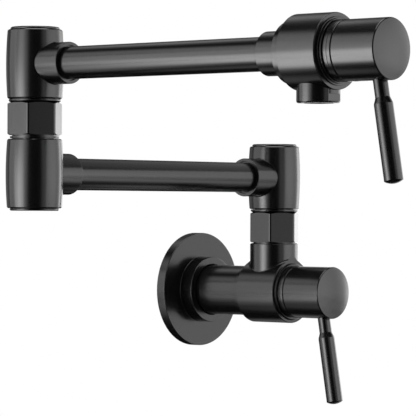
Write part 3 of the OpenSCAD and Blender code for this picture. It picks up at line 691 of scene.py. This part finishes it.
@dataclass
class TrimRings(Maker):
    """The stepped trim ring and the lock ring between a body and its handle hub."""

    prefix: str
    body: Body
    place: Matrix
    start: float
    lock_start: float
    steps: tuple[Triple, ...]
    lock_end: float = 24.9
    bore: float = 15.0
    root: float = 19.6
    lock_radius: float = 20.3
    lock_bore: float = 9.6
    groove: Pair = (0.2, 0.25)

    def build(self, shop: Workshop) -> None:
        """Makes both rings.

        Args:
            shop: the workshop that places and finishes them.
        """
        last = self.start + self.steps[-1][0]
        outline = [(self.bore, self.start)]
        outline += [(radius, self.start + along, edge) for along, radius, edge in self.steps]
        outline += [(self.root, last), (self.root, self.lock_start), (self.bore, self.lock_start)]
        shop.finish(turned(outline), self.place, f"{self.prefix}_trim_ring", "turned", self.body)
        low, high, middle = self.lock_start, self.lock_end, (self.lock_start + self.lock_end) / 2
        half, deep = self.groove
        lock = turned([
            (self.lock_bore, low), (self.lock_radius, low, SMALL), (self.lock_radius, middle - half),
            (self.lock_radius - deep, middle), (self.lock_radius, middle + half),
            (self.lock_radius, high, BROAD), (self.lock_bore, high),
        ])
        shop.finish(lock, self.place, f"{self.prefix}_lock_ring", "turned", self.body)


@dataclass
class Handle(Maker):
    """A handle: the domed hub and the lever that screws into it."""

    prefix: str
    body: Body
    place: Matrix
    radius: float = 20.1
    back: float = 25.2
    rim: float = 59.4
    rim_arc: tuple[float, float, int] = (15.0, 75.0, 4)
    dome: float = 2.2
    dome_steps: int = 16
    edge: float = 1.0
    recess: Pair = (15.0, 3.0)
    stem_bore: float = 4.1
    stem_depth: float = 13.0
    tilt: float = 9.8
    root: float = 46.8
    seat: float = 11.5
    neck: float = 4.8
    neck_fit: float = 0.1
    socket_run: float = 4.0
    grip: float = 6.25
    tip_edge: float = 0.25
    neck_end: float = 31.4
    shoulder: float = 4.0
    length: float = 86.97
    tip: float = 1.9
    tip_steps: int = 8
    screw_height: float = 32.2
    screw_radius: float = 2.6

    def build(self, shop: Workshop) -> None:
        """Makes the hub and the lever.

        Args:
            shop: the workshop that places and finishes them.
        """
        recess_radius, recess_depth = self.recess
        stem, recess = self.back + self.stem_depth, self.back + recess_depth
        face, side = self.radius - self.edge, self.rim - self.edge
        hub = turned([
            (0, stem), (self.stem_bore, stem), (self.stem_bore, recess), (recess_radius, recess),
            (recess_radius, self.back), (self.radius, self.back, BROAD), (self.radius, side),
            *arc(face, side, self.edge, *self.rim_arc), *domed(face, self.rim, self.dome, self.dome_steps),
        ])
        lean = at(0, 0, self.root) @ Matrix.Rotation(math.radians(90 - self.tilt), 4, "X")
        socket = moved(rod(self.neck + self.neck_fit, self.seat, self.radius + self.socket_run, FINE_STEPS), lean)
        screw = rod(self.screw_radius, 0, self.radius + PAST, FINE_STEPS)
        screw = moved(screw, at(0, 0, self.screw_height) @ DOWN)
        form = combined(hub, (Cut.TAKE, socket), (Cut.TAKE, screw))
        shop.finish(form, self.place, f"{self.prefix}_handle_hub", "turned", self.body)
        grip_end = self.length - self.tip
        lever = turned([
            (0, self.seat), (self.neck, self.seat, SMALL), (self.neck, self.neck_end, SMALL),
            (self.grip, self.neck_end + self.shoulder, BROAD), (self.grip, grip_end, self.tip_edge),
            *domed(self.grip, grip_end, self.tip, self.tip_steps)[1:],
        ], LEVER_STEPS)
        shop.finish(lever, self.place @ lean, f"{self.prefix}_lever", "turned", self.body)


@dataclass(frozen=True)
class Socket:
    """The socket that holds the end of an arm's tube, with its wider mouth."""

    bore: float = 11.6
    depth: float = 14.0
    mouth: float = 12.6
    mouth_depth: float = 2.0
    waterway: float = 8.0


@dataclass
class Swivel(Maker):
    """A swivel barrel with its side collar, and the cap in its end."""

    node: str
    cap_node: str
    body: Body
    place: Matrix
    reach: float
    turns: bool = True
    end_radius: float = 19.5
    mid_radius: float = 20.5
    side_steps: int = 24
    height: float = 49.2
    edge: float = 0.8
    bore: float = 12.05
    shelf: float = 6.7
    shelf_bore: float = 15.1
    collar: float = 14.8
    collar_fillet: float = 0.7
    socket: Socket = Socket()
    cap: float = 17.5
    cap_height: float = 1.8
    cap_chamfer: float = 0.7
    cap_relief: float = 0.35
    relief_edge: float = 0.1
    lip: Pair = (13.2, 15.0)
    lip_height: float = 0.22
    plug: float = 15.0
    plug_wall: float = 2.6
    plug_depth: float = 3.6

    def barrel(self) -> Form:
        """Joins the barrel and its collar.

        Returns:
            The barrel with its collar along +X, and a low dust lip under one that turns.
        """
        half, bulge, end = self.height / 2, self.mid_radius - self.end_radius, self.end_radius - self.edge
        swing = (half**2 + bulge**2) / (2 * bulge)
        sweep = math.degrees(math.asin((half - self.edge) / swing))
        side = arc(self.mid_radius - swing, 0, swing, -sweep, sweep, self.side_steps)
        (lip_in, lip_out), foot = self.lip, -half - self.lip_height
        lip = [(lip_in, -half), (lip_in, foot), (lip_out, foot), (lip_out, -half)] if self.turns else []
        barrel = turned([(0, -half), *lip, (end, -half, FINE), *side, (end, half, FINE), (0, half)])
        collar = turned([(0, 0), (self.collar, 0), (self.collar, self.reach, BROAD), (0, self.reach)])
        tube, past = self.socket, self.reach + PAST
        deep, shallow = self.reach - tube.depth, self.reach - tube.mouth_depth
        socket = turned([
            (0, 0), (tube.waterway, 0), (tube.waterway, deep), (tube.bore, deep), (tube.bore, shallow),
            (tube.mouth, shallow, SMALL), (tube.mouth, past), (0, past),
        ])
        bore = stepped(-half - PAST, (self.bore, half - self.shelf), (self.shelf_bore, half + PAST))
        # Swaps the axes, so that the fillet's neck lies along X and its body along Z
        sideways = Matrix(((0, 0, 1, 0), (1, 0, 0, 0), (0, 1, 0, 0), (0, 0, 0, 1)))
        fillet = moved(fillet_ring(self.collar, self.mid_radius, self.collar_fillet, bulge / half**2), sideways)
        along = Matrix.Rotation(math.pi / 2, 4, "Y")
        return combined(
            barrel, (Cut.ADD, moved(collar, along)), (Cut.ADD, fillet), (Cut.TAKE, bore),
            (Cut.TAKE, moved(socket, along)),
        )

    def lid(self) -> Form:
        """Turns the cap.

        Returns:
            The cap on top of the barrel, with its hollow plug.
        """
        half, inner = self.height / 2, self.plug - self.plug_wall
        deep, high = half - self.plug_depth, half + self.cap_height
        return turned([
            (0, half), (inner, half), (inner, deep), (self.plug, deep, SMALL), (self.plug, half),
            (self.cap - self.cap_relief, half), (self.cap, half + self.cap_relief, self.relief_edge),
            (self.cap, high - self.cap_chamfer, FINE), (self.cap - self.cap_chamfer, high, SMALL), (0, high),
        ])

    def build(self, shop: Workshop) -> None:
        """Makes the barrel and its cap."""
        shop.finish(self.barrel(), self.place, self.node, "cast", self.body, CAST_CREASE)
        shop.finish(self.lid(), self.place, self.cap_node, "turned", self.body, CAP_CREASE)


@dataclass
class SwivelStack(Maker):
    """The nut and the rings between a neck or barrel and the barrel that turns above it."""

    across: float = 35.2
    corner: float = 1.2
    land: float = 0.3
    chamfer: float = 23.0
    bore: float = 12.1
    ring: float = 18.5
    ring_height: float = 2.5
    cone_width: float = 1.6
    cone_height: float = 1.2
    lip: Pair = (15.3, 17.0)
    lip_height: float = 0.22
    gap: float = 0.3
    half: float = Swivel.height / 2

    @property
    def bearing_low(self) -> float:
        """The height of the bearing ring's underside below the middle of the barrel on it."""
        return -self.half - self.gap - self.ring_height

    def nut(self, low: float, high: float) -> Form:
        """A hex nut with turned-off corners.

        Args:
            low: the lower height.
            high: the upper height.

        Returns:
            The nut with its bore.
        """
        widest, start = self.across / 2 / math.cos(math.pi / 6), self.across / 2 + self.land
        slope = (widest - start) * math.tan(math.radians(self.chamfer))
        turned_off = turned([
            (0, low), (start, low), (widest, low + slope), (widest, high - slope), (start, high), (0, high),
        ])
        hexagon = rod(widest, low, high, 6)
        upright = [e for e in hexagon.edges if abs(e.verts[0].co.z - e.verts[1].co.z) > MM / 10]
        rounded(hexagon, upright, self.corner, NUT_ROUND_STEPS)
        # Turned so that a flat faces along X
        flat = max((f for f in hexagon.faces if abs(f.normal.z) < 0.5), key=lambda f: f.calc_area())
        moved(hexagon, Matrix.Rotation(-math.atan2(flat.normal.y, flat.normal.x), 4, "Z"))
        return combined(hexagon, (Cut.KEEP, turned_off), (Cut.TAKE, rod(self.bore, low - PAST, high + PAST)))

    def bearing(self) -> Form:
        """Turns the ring under a turning barrel.

        Returns:
            The bearing ring, with a low dust lip in the running gap.
        """
        low, high = self.bearing_low, -self.half - self.gap
        (lip_in, lip_out), lip = self.lip, high + self.lip_height
        return turned([
            (self.bore, low), (self.ring - self.cone_width, low), (self.ring, low + self.cone_height, FINE),
            (self.ring, high, BROAD), (lip_out, high), (lip_out, lip), (lip_in, lip), (lip_in, high),
            (self.bore, high),
        ])


@dataclass
class ShoulderStack(SwivelStack):
    """The shoulder's nut on its round foot, and the bearing ring."""

    # Radii of the foot's bottom, rim and neck, then heights of the rim's edges, the hex and the neck's top
    radii: Triple = (17.8, 18.1, 16.4)
    heights: tuple[float, float, float, float] = (0.25, 0.5, 1.1, 1.3)
    rim_edge: float = 0.1

    def build(self, shop: Workshop) -> None:
        """Makes the nut and the bearing ring.

        Args:
            shop: the workshop that places and finishes them.
        """
        start = LowerValve.neck_top - LAYOUT.valve_to_arm
        bottom, rim, neck = self.radii
        edge, high, hexagon, top = (start + height for height in self.heights)
        foot = turned([
            (self.bore, start), (bottom, start), (rim, edge, self.rim_edge), (rim, high), (neck, high), (neck, top),
            (self.bore, top),
        ])
        nut, place = combined(self.nut(hexagon, self.bearing_low), (Cut.ADD, foot)), LAYOUT.shoulder
        shop.finish(nut, place, "shoulder_hex_nut", "milled", Body.BASE, HEX_CREASE)
        shop.finish(self.bearing(), place, "shoulder_bearing_ring", "turned", Body.BASE)


@dataclass
class ElbowStack(SwivelStack):
    """The elbow's spacer ring, nut and bearing ring."""

    radius: float = 17.6
    height: float = 2.8
    groove: float = 1.6
    rim_start: float = 0.56
    rim_end: float = 0.85
    rim_edge: float = 0.2

    def spacer(self) -> Form:
        """Turns the ring between the lower barrel and the nut.

        Returns:
            The spacer ring.
        """
        low, high, root = self.half, self.half + self.height, self.radius - self.groove
        start, end = low + self.rim_start, high - self.rim_end
        return turned([
            (self.bore, low), (root, low), (root, start), (self.radius, start, self.rim_edge),
            (self.radius, end, self.rim_edge), (root, end), (root, high), (self.bore, high),
        ])

    def build(self, shop: Workshop) -> None:
        """Makes the two rings and the nut.

        Args:
            shop: the workshop that places and finishes them.
        """
        arm, place, rise = Body.LOWER_ARM, LAYOUT.elbow(0), LAYOUT.arm_rise
        shop.finish(self.spacer(), place, "elbow_spacer_ring", "turned", arm)
        nut = self.nut(self.half + self.height, rise + self.bearing_low)
        shop.finish(nut, place, "elbow_hex_nut", "milled", arm, HEX_CREASE)
        shop.finish(self.bearing(), LAYOUT.elbow(rise), "elbow_bearing_ring", "turned", arm)


@dataclass
class UpperValve(ValveBody):
    """The outlet valve body with the collar that takes the upper arm's tube."""

    radius: float = 25.19
    back: float = -15.6
    front: float = 15.6
    ring_width: float = 7.7
    collar: float = 14.8
    collar_length: float = 18.8
    thread: float = 12.5
    thread_length: float = 5.5
    thread_fit: Pair = (0.1, 0.3)
    socket: Socket = Socket()
    seat: float = 20.6
    seat_radius: float = 14.5
    boss: float = 13.824
    nozzle: float = 11.0
    nozzle_length: float = 6.4

    def build(self, shop: Workshop) -> None:
        """Makes the body and the collar.

        Args:
            shop: the workshop that places and finishes them.
        """
        rear, place, end = self.back - self.ring_width, LAYOUT.upper_valve, self.seat + self.nozzle_length
        body = turned([
            (0, rear), (self.ring, rear, BROAD), (self.ring, self.back, self.ring_root),
            (self.radius, self.back, self.bevel / 2), (self.radius, self.front, self.bevel), (0, self.front),
        ])
        seat = rod(self.seat_radius, self.seat, self.seat + self.radius)
        boss = stepped(0, (self.boss, self.seat), (self.nozzle, end))
        port = rod(self.waterway, self.waterway_start, end + PAST)
        thread_end, (round_fit, end_fit) = rear + self.thread_length, self.thread_fit
        channel = stepped(
            rear - PAST, (self.thread + round_fit, thread_end + end_fit), (self.waterway, self.cavity.low),
        )
        form = combined(
            body, (Cut.TAKE, moved(seat, DOWN)), (Cut.ADD, moved(boss, DOWN)), (Cut.TAKE, channel),
            (Cut.TAKE, self.cavity.cutter(self.front)), (Cut.TAKE, moved(port, DOWN)),
        )
        shop.finish(form, place, "upper_valve_body", "cast", Body.UPPER_ARM, CAST_CREASE)
        low, tube = rear - self.collar_length, self.socket
        deep, shallow = low + tube.depth, low + tube.mouth_depth
        collar = turned([
            (tube.mouth, low, SMALL), (self.collar, low, BROAD), (self.collar, rear),
            (self.thread, rear), (self.thread, thread_end), (self.waterway, thread_end),
            (self.waterway, deep), (tube.bore, deep), (tube.bore, shallow), (tube.mouth, shallow),
        ])
        shop.finish(collar, place, "upper_arm_collar", "turned", Body.UPPER_ARM)


@dataclass
class Outlet(Maker):
    """The outlet housing with its wrench flats."""

    radius: float = 14.4
    top: float = 20.6
    top_edge: float = 0.4
    drop: float = 33.4
    edge: float = 1.3
    bore: float = 11.1
    lip: float = 1.0
    lip_height: float = 1.5
    flat: float = 13.1
    flat_height: float = 4.6

    def build(self, shop: Workshop) -> None:
        """Makes the housing, pointing down.

        Args:
            shop: the workshop that places and finishes them.
        """
        mouth, lip = self.bore - self.lip, self.drop - self.lip_height
        form = turned([
            (self.bore, self.top), (self.radius, self.top, self.top_edge), (self.radius, self.drop, self.edge),
            (mouth, self.drop, SMALL), (mouth, lip), (self.bore, lip),
        ])
        high, past = self.drop - self.edge, self.radius + PAST
        for side in (-1, 1):
            block = box((-past, self.flat, high - self.flat_height), (past, past + 2 * PAST, high))
            form = combined(form, (Cut.TAKE, moved(block, Matrix.Diagonal((1, side, 1, 1)))))
        shop.finish(form, LAYOUT.upper_valve @ DOWN, "outlet_housing", "milled", Body.UPPER_ARM, CAST_CREASE)


@dataclass
class Arms(Maker):
    """The two arm tubes."""

    radius: float = 11.5
    wall: float = 1.8
    lower: Pair = (23.0, 248.2)
    upper: Pair = (20.8, 229.4)

    def tube(self, low: float, high: float) -> Form:
        """A drawn tube along +Z between two heights."""
        bore = self.radius - self.wall
        return turned([(bore, low), (self.radius, low, SMALL), (self.radius, high, SMALL), (bore, high)])

    def build(self, shop: Workshop) -> None:
        """Makes both tubes.

        Args:
            shop: the workshop that places and finishes them.
        """
        left = LAYOUT.shoulder @ Matrix.Rotation(-math.pi / 2, 4, "Y")
        shop.finish(self.tube(*self.lower), left, "lower_arm_tube", "drawn", Body.LOWER_ARM)
        out = LAYOUT.elbow(LAYOUT.arm_rise) @ OUTWARDS
        shop.finish(self.tube(*self.upper), out, "upper_arm_tube", "drawn", Body.UPPER_ARM)


@dataclass
class Camera:
    """The photograph's camera, in mm and degrees."""

    place: Triple = (-1630.4, -1422.3, 65.3)
    azimuth: float = -49.19
    roll: float = 0.25
    lens: float = 231.71
    sensor: float = 36.0

    def build(self) -> None:
        """Adds the camera and makes it the scene's."""
        data = bpy.data.cameras.new("photo_camera")
        data.lens = self.lens
        data.sensor_width = self.sensor
        data.sensor_fit = "HORIZONTAL"
        camera = bpy.data.objects.new("photo_camera", data)
        bpy.context.scene.collection.objects.link(camera)
        level = Matrix.Rotation(math.radians(self.azimuth), 4, "Z") @ Matrix.Rotation(math.pi / 2, 4, "X")
        camera.matrix_world = at(*self.place) @ level @ Matrix.Rotation(math.radians(self.roll), 4, "Z")
        bpy.context.scene.camera = camera


@dataclass(frozen=True)
class Softbox:
    """A glowing panel that faces the pot filler and fades towards its edges. Metres, and degrees from +X."""

    name: str
    azimuth: float
    distance: float
    height: float
    width: float
    tall: float
    radiance: float

    def cloth(self) -> bpy.types.Material:
        """The panel's cloth: brightest in the middle, dark at its edges.

        Returns:
            A material that glows by the panel's own UV map.
        """
        # White diffusion cloth, lit from behind: its soft edge gives the coat its soft gradients
        mat = bpy.data.materials.new(f"diffusion_cloth_{self.name}")
        tree = empty_tree(mat)
        place = add_node(tree, "ShaderNodeUVMap", {"uv_map": "panel"})
        split = add_node(tree, "ShaderNodeSeparateXYZ", Vector=place.outputs["UV"])
        fades = []
        for side in ("X", "Y"):
            rest = add_maths(tree, "SUBTRACT", 1.0, split.outputs[side])
            fades.append(add_maths(tree, "MULTIPLY", split.outputs[side], rest))
        both = add_maths(tree, "MULTIPLY", *fades)
        glow = add_maths(tree, "MULTIPLY", both, self.radiance / FADE_PEAK)
        light = add_node(tree, "ShaderNodeEmission", Strength=glow)
        clear = add_node(tree, "ShaderNodeBsdfTransparent")
        # The cloth is sheer, so panels that overlap add up
        sheer = add_node(tree, "ShaderNodeAddShader", in0=light.outputs["Emission"], in1=clear.outputs["BSDF"])
        add_node(tree, "ShaderNodeOutputMaterial", Surface=sheer.outputs["Shader"])
        return mat

    def build(self, centre: Vector) -> None:
        """Hangs the panel.

        Args:
            centre: the object's centre, which the panel faces.
        """
        angle = math.radians(self.azimuth)
        place = centre + Vector((self.distance * math.cos(angle), self.distance * math.sin(angle), self.height))
        form = bmesh.new()
        form.loops.layers.uv.new("panel")
        bmesh.ops.create_grid(form, x_segments=1, y_segments=1, size=0.5, calc_uvs=True)
        turn = (place - centre).to_track_quat("Z", "Y").to_matrix().to_4x4()
        moved(form, Matrix.Translation(place) @ turn @ Matrix.Diagonal((self.width, self.tall, 1, 1)))
        panel = to_object(form, f"studio_softbox_{self.name}")
        panel.data.materials.append(self.cloth())
        panel.visible_camera = panel.visible_diffuse = False


SOFTBOXES = tuple(Softbox(*row) for row in (
    ("rear_right_high", 0.0, 2.4, 1.15, 3.28, 2.7, 0.51),
    ("left_high", 146.2, 2.4, 1.8, 4.23, 1.4, 0.61),
    ("front_left_level", 157.5, 1.0, 0.125, 0.76, 1.65, 1.22),
    ("rear_middle_high", 45.0, 2.4, 1.15, 5.17, 2.7, 0.1),
    ("rear_right_level", 352.0, 1.6, 0.0, 0.6, 1.0, 1.7),
    ("right_level", 292.5, 1.0, -0.1, 1.29, 1.2, 0.66),
    ("front_left_level_2", 172.5, 1.0, 0.075, 0.76, 0.85, 1.21),
    ("left_low", 150.0, 1.0, -0.45, 0.5, 0.5, 3.1),
    ("right_low", 315.0, 1.0, -0.45, 1.55, 0.5, 0.83),
    ("rear_right_level_2", 7.5, 1.0, -0.1, 0.76, 1.2, 2.0),
    ("left_level", 150.0, 1.0, -0.1, 0.5, 0.5, 2.5),
    ("front_left_level_3", 165.0, 1.0, -0.1, 0.5, 0.5, 2.18),
    ("rear_left_high", 75.0, 2.0, 2.2, 1.5, 1.0, 0.34),
    ("left_low_2", 142.5, 1.0, -0.45, 0.76, 0.5, 1.6),
    ("rear_middle_level", 30.0, 1.0, 0.0, 0.5, 0.5, 2.2),
    ("front_right_level", 255.0, 1.0, 0.125, 0.5, 1.65, 0.44),
    ("left_high_2", 120.0, 1.6, 1.2, 1.0, 0.8, 0.39),
    ("left_low_3", 127.0, 0.8, -0.55, 0.8, 0.4, 0.58),
    ("left_level_2", 135.0, 1.0, 0.475, 0.5, 0.95, 0.26),
    ("rear_right_low", 340.0, 0.8, -0.5, 0.8, 0.4, 0.2),
    ("rear_middle_high_2", 60.0, 1.3, 1.4, 1.0, 0.8, 0.6),
    ("left_low_4", 113.0, 0.36, -0.52, 0.4, 0.3, 0.4),
    ("rear_middle_low", 36.7, 0.42, -0.28, 0.2, 0.2, 0.32),
    ("rear_right_low_2", 13.0, 0.38, -0.35, 0.2, 0.2, 0.45),
    ("rear_left_level", 82.0, 2.4, 0.0, 2.0, 1.2, 0.35),
))


@dataclass
class Studio:
    """A pale floor, a white surround, black felt cards for the gloss, and soft lamps. Metres and degrees."""

    centre: Triple = (-0.13, -0.17, 0.08)
    floor_height: float = -0.6
    floor_radius: float = 6.0
    disc_steps: int = 96
    card_radius: float = 2.8
    card_top: float = 4.0
    card_lift: float = 0.01
    card_steps: int = 40
    # The first and last angle of each upright card, and the height of its foot
    cards: tuple[Triple, ...] = (
        (143.0, 270.0, -0.6), (352.0, 465.0, -0.6), (105.0, 143.0, 1.39), (270.0, 352.0, 1.39),
    )
    fill: float = 0.6
    lamp_height: float = 2.2
    lamp_size: float = 2.0
    lamp_radiance: float = 1.81

    def overhead(self) -> None:
        """Hangs the one plain lamp, above the object and facing down."""
        data = bpy.data.lights.new("overhead", "AREA")
        data.shape = "SQUARE"
        data.size = self.lamp_size
        data.energy = self.lamp_radiance * math.pi * self.lamp_size**2
        lamp = bpy.data.objects.new("overhead", data)
        bpy.context.scene.collection.objects.link(lamp)
        lamp.location = Vector(self.centre) + Vector((0, 0, self.lamp_height))
        lamp.visible_camera = False

    def sheet(self, name: str, colour: str, worn: str, roughness: float, grain_mm: float) -> bpy.types.Material:
        """A dull studio material: paper or felt with a faint mottle.

        Args:
            name: the material's name.
            colour: its sRGB hex colour.
            worn: the colour of its mottle.
            roughness: how dull it is.
            grain_mm: the size of the mottle.

        Returns:
            The material.
        """
        mat = bpy.data.materials.new(name)
        tree = empty_tree(mat)
        point = add_node(tree, "ShaderNodeTexCoord").outputs["Object"]
        cloud = add_node(tree, "ShaderNodeTexNoise", Vector=point, Scale=1 / (grain_mm * MM), Detail=2.0)
        tint = add_tint(tree, colour, worn, cloud)
        shader = add_node(tree, "ShaderNodeBsdfPrincipled", Base_Color=tint, Roughness=roughness)
        shader.inputs["Specular IOR Level"].default_value = 0.0
        add_node(tree, "ShaderNodeOutputMaterial", Surface=shader.outputs["BSDF"])
        return mat

    def card(self, form: Form, name: str, felt: bpy.types.Material) -> None:
        """Hangs a black card that only the gloss of the object sees.

        Args:
            form: the card's mesh.
            name: the card's name.
            felt: its material.
        """
        card = to_object(form, name)
        card.data.materials.append(felt)
        card.visible_camera = card.visible_diffuse = card.visible_shadow = False

    def disc(self, radius: float, height: float) -> Form:
        """A flat disc about the object's centre."""
        place = Matrix.Translation((*self.centre[:2], height))
        return made(bmesh.ops.create_circle, cap_ends=True, segments=self.disc_steps, radius=radius, matrix=place)

    def curved(self, start: float, end: float, foot: float) -> Form:
        """An upright sheet that is curved about the object's centre.

        Args:
            start: the first angle in degrees.
            end: the last angle.
            foot: the height of its lower edge.

        Returns:
            The sheet.
        """
        form = bmesh.new()
        x, y, _ = self.centre
        turn = Matrix.Translation((x, y, 0)) @ Matrix.Rotation(math.radians(start), 4, "Z")
        low, high = (form.verts.new(turn @ Vector((self.card_radius, 0, z))) for z in (foot, self.card_top))
        edge = form.edges.new((low, high))
        bmesh.ops.spin(
            form, geom=[low, high, edge], cent=(x, y, 0), axis=(0, 0, 1), dvec=(0, 0, 0),
            angle=math.radians(end - start), steps=self.card_steps,
        )
        return form

    def surround(self) -> None:
        """Makes the world: white where it is seen or mirrored, and a weaker fill everywhere else."""
        world = bpy.data.worlds.new("white_surround")
        bpy.context.scene.world = world
        tree = empty_tree(world)
        path = add_node(tree, "ShaderNodeLightPath")
        seen = path.outputs["Is Camera Ray"]
        for ray in ("Is Glossy Ray", "Is Transmission Ray"):
            seen = add_maths(tree, "MAXIMUM", seen, path.outputs[ray])
        strength = add_node(tree, "ShaderNodeMapRange", Value=seen, To_Min=self.fill, To_Max=1.0)
        light = add_node(tree, "ShaderNodeBackground", Color=(1, 1, 1, 1), Strength=strength.outputs["Result"])
        add_node(tree, "ShaderNodeOutputWorld", Surface=light.outputs["Background"])

    def build(self) -> None:
        """Adds the floor, the cards, the lamps and the world."""
        floor = to_object(self.disc(self.floor_radius, self.floor_height), "studio_floor")
        # Matt white paper: an even pale ground that holds the soft shadow
        floor.data.materials.append(self.sheet("white_paper_floor", "F4F4F4", "EFEFEF", 0.9, 40.0))
        # Black wool felt: swallows the light, so the coat keeps its dark sides
        felt = self.sheet("black_wool_felt", "161616", "1B1B1B", 1.0, 3.0)
        for number, span in enumerate(self.cards, 1):
            self.card(self.curved(*span), f"studio_card_{number}", felt)
        self.card(self.disc(self.card_radius, self.card_top), "studio_card_top", felt)
        self.card(self.disc(self.card_radius, self.floor_height + self.card_lift), "studio_card_low", felt)
        self.overhead()
        for softbox in SOFTBOXES:
            softbox.build(Vector(self.centre))
        self.surround()
        bpy.context.scene.view_settings.view_transform = "Standard"


# The trim rings' steps: height above the ring's start, radius and round
LOWER_STEPS = ((0.0, 22.2, 0.0), (0.15, 22.4, 0.0), (0.4, 22.4, 0.15), (1.12, 21.3, 0.12))
UPPER_STEPS = ((0.0, 22.1, 0.0), (0.3, 22.4, 0.0), (1.2, 22.4, 0.3), (1.2, 21.3, 0.0), (2.75, 21.3, 0.25))


def main() -> None:
    """Builds the pot filler, the studio and the camera."""
    logging.basicConfig(level=logging.INFO, format="%(name)s: %(message)s")
    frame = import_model()
    Camera().build()
    Studio().build()
    shop, about = Workshop(), Matrix.Rotation
    base, lower, upper = Body.BASE, Body.LOWER_ARM, Body.UPPER_ARM
    low_valve, high_valve = LAYOUT.lower_valve, LAYOUT.upper_valve
    # Each barrel's frame has its collar along +X and its cap on top
    shoulder = LAYOUT.shoulder @ about(math.pi, 4, "Z")
    low, high = LAYOUT.elbow(0) @ about(math.pi, 4, "X"), LAYOUT.elbow(LAYOUT.arm_rise) @ about(-math.pi / 2, 4, "Z")
    makers: tuple[Maker, ...] = (
        WallFlange(),
        LowerValve(),
        TrimRings("lower", base, low_valve, start=18.5, lock_start=19.9, steps=LOWER_STEPS),
        Handle("lower", Body.LOWER_HANDLE, low_valve),
        ShoulderStack(),
        Swivel("shoulder_barrel", "shoulder_cap", lower, shoulder, reach=37.0),
        Swivel("elbow_lower_barrel", "elbow_bottom_cap", lower, low, reach=34.8, turns=False),
        Swivel("elbow_upper_barrel", "elbow_cap", upper, high, reach=34.8),
        ElbowStack(),
        Arms(),
        UpperValve(),
        TrimRings("upper", upper, high_valve, start=15.6, lock_start=19.1, steps=UPPER_STEPS),
        Outlet(),
        Handle("upper", Body.UPPER_HANDLE, high_valve),
    )
    for maker in makers:
        maker.build(shop)
    slots = {part["node"]: part["material_slot"] for part in frame["record"]["subparts"]}
    shop.dress(frame["nodes"], slots)


if __name__ == "__main__":
    main()
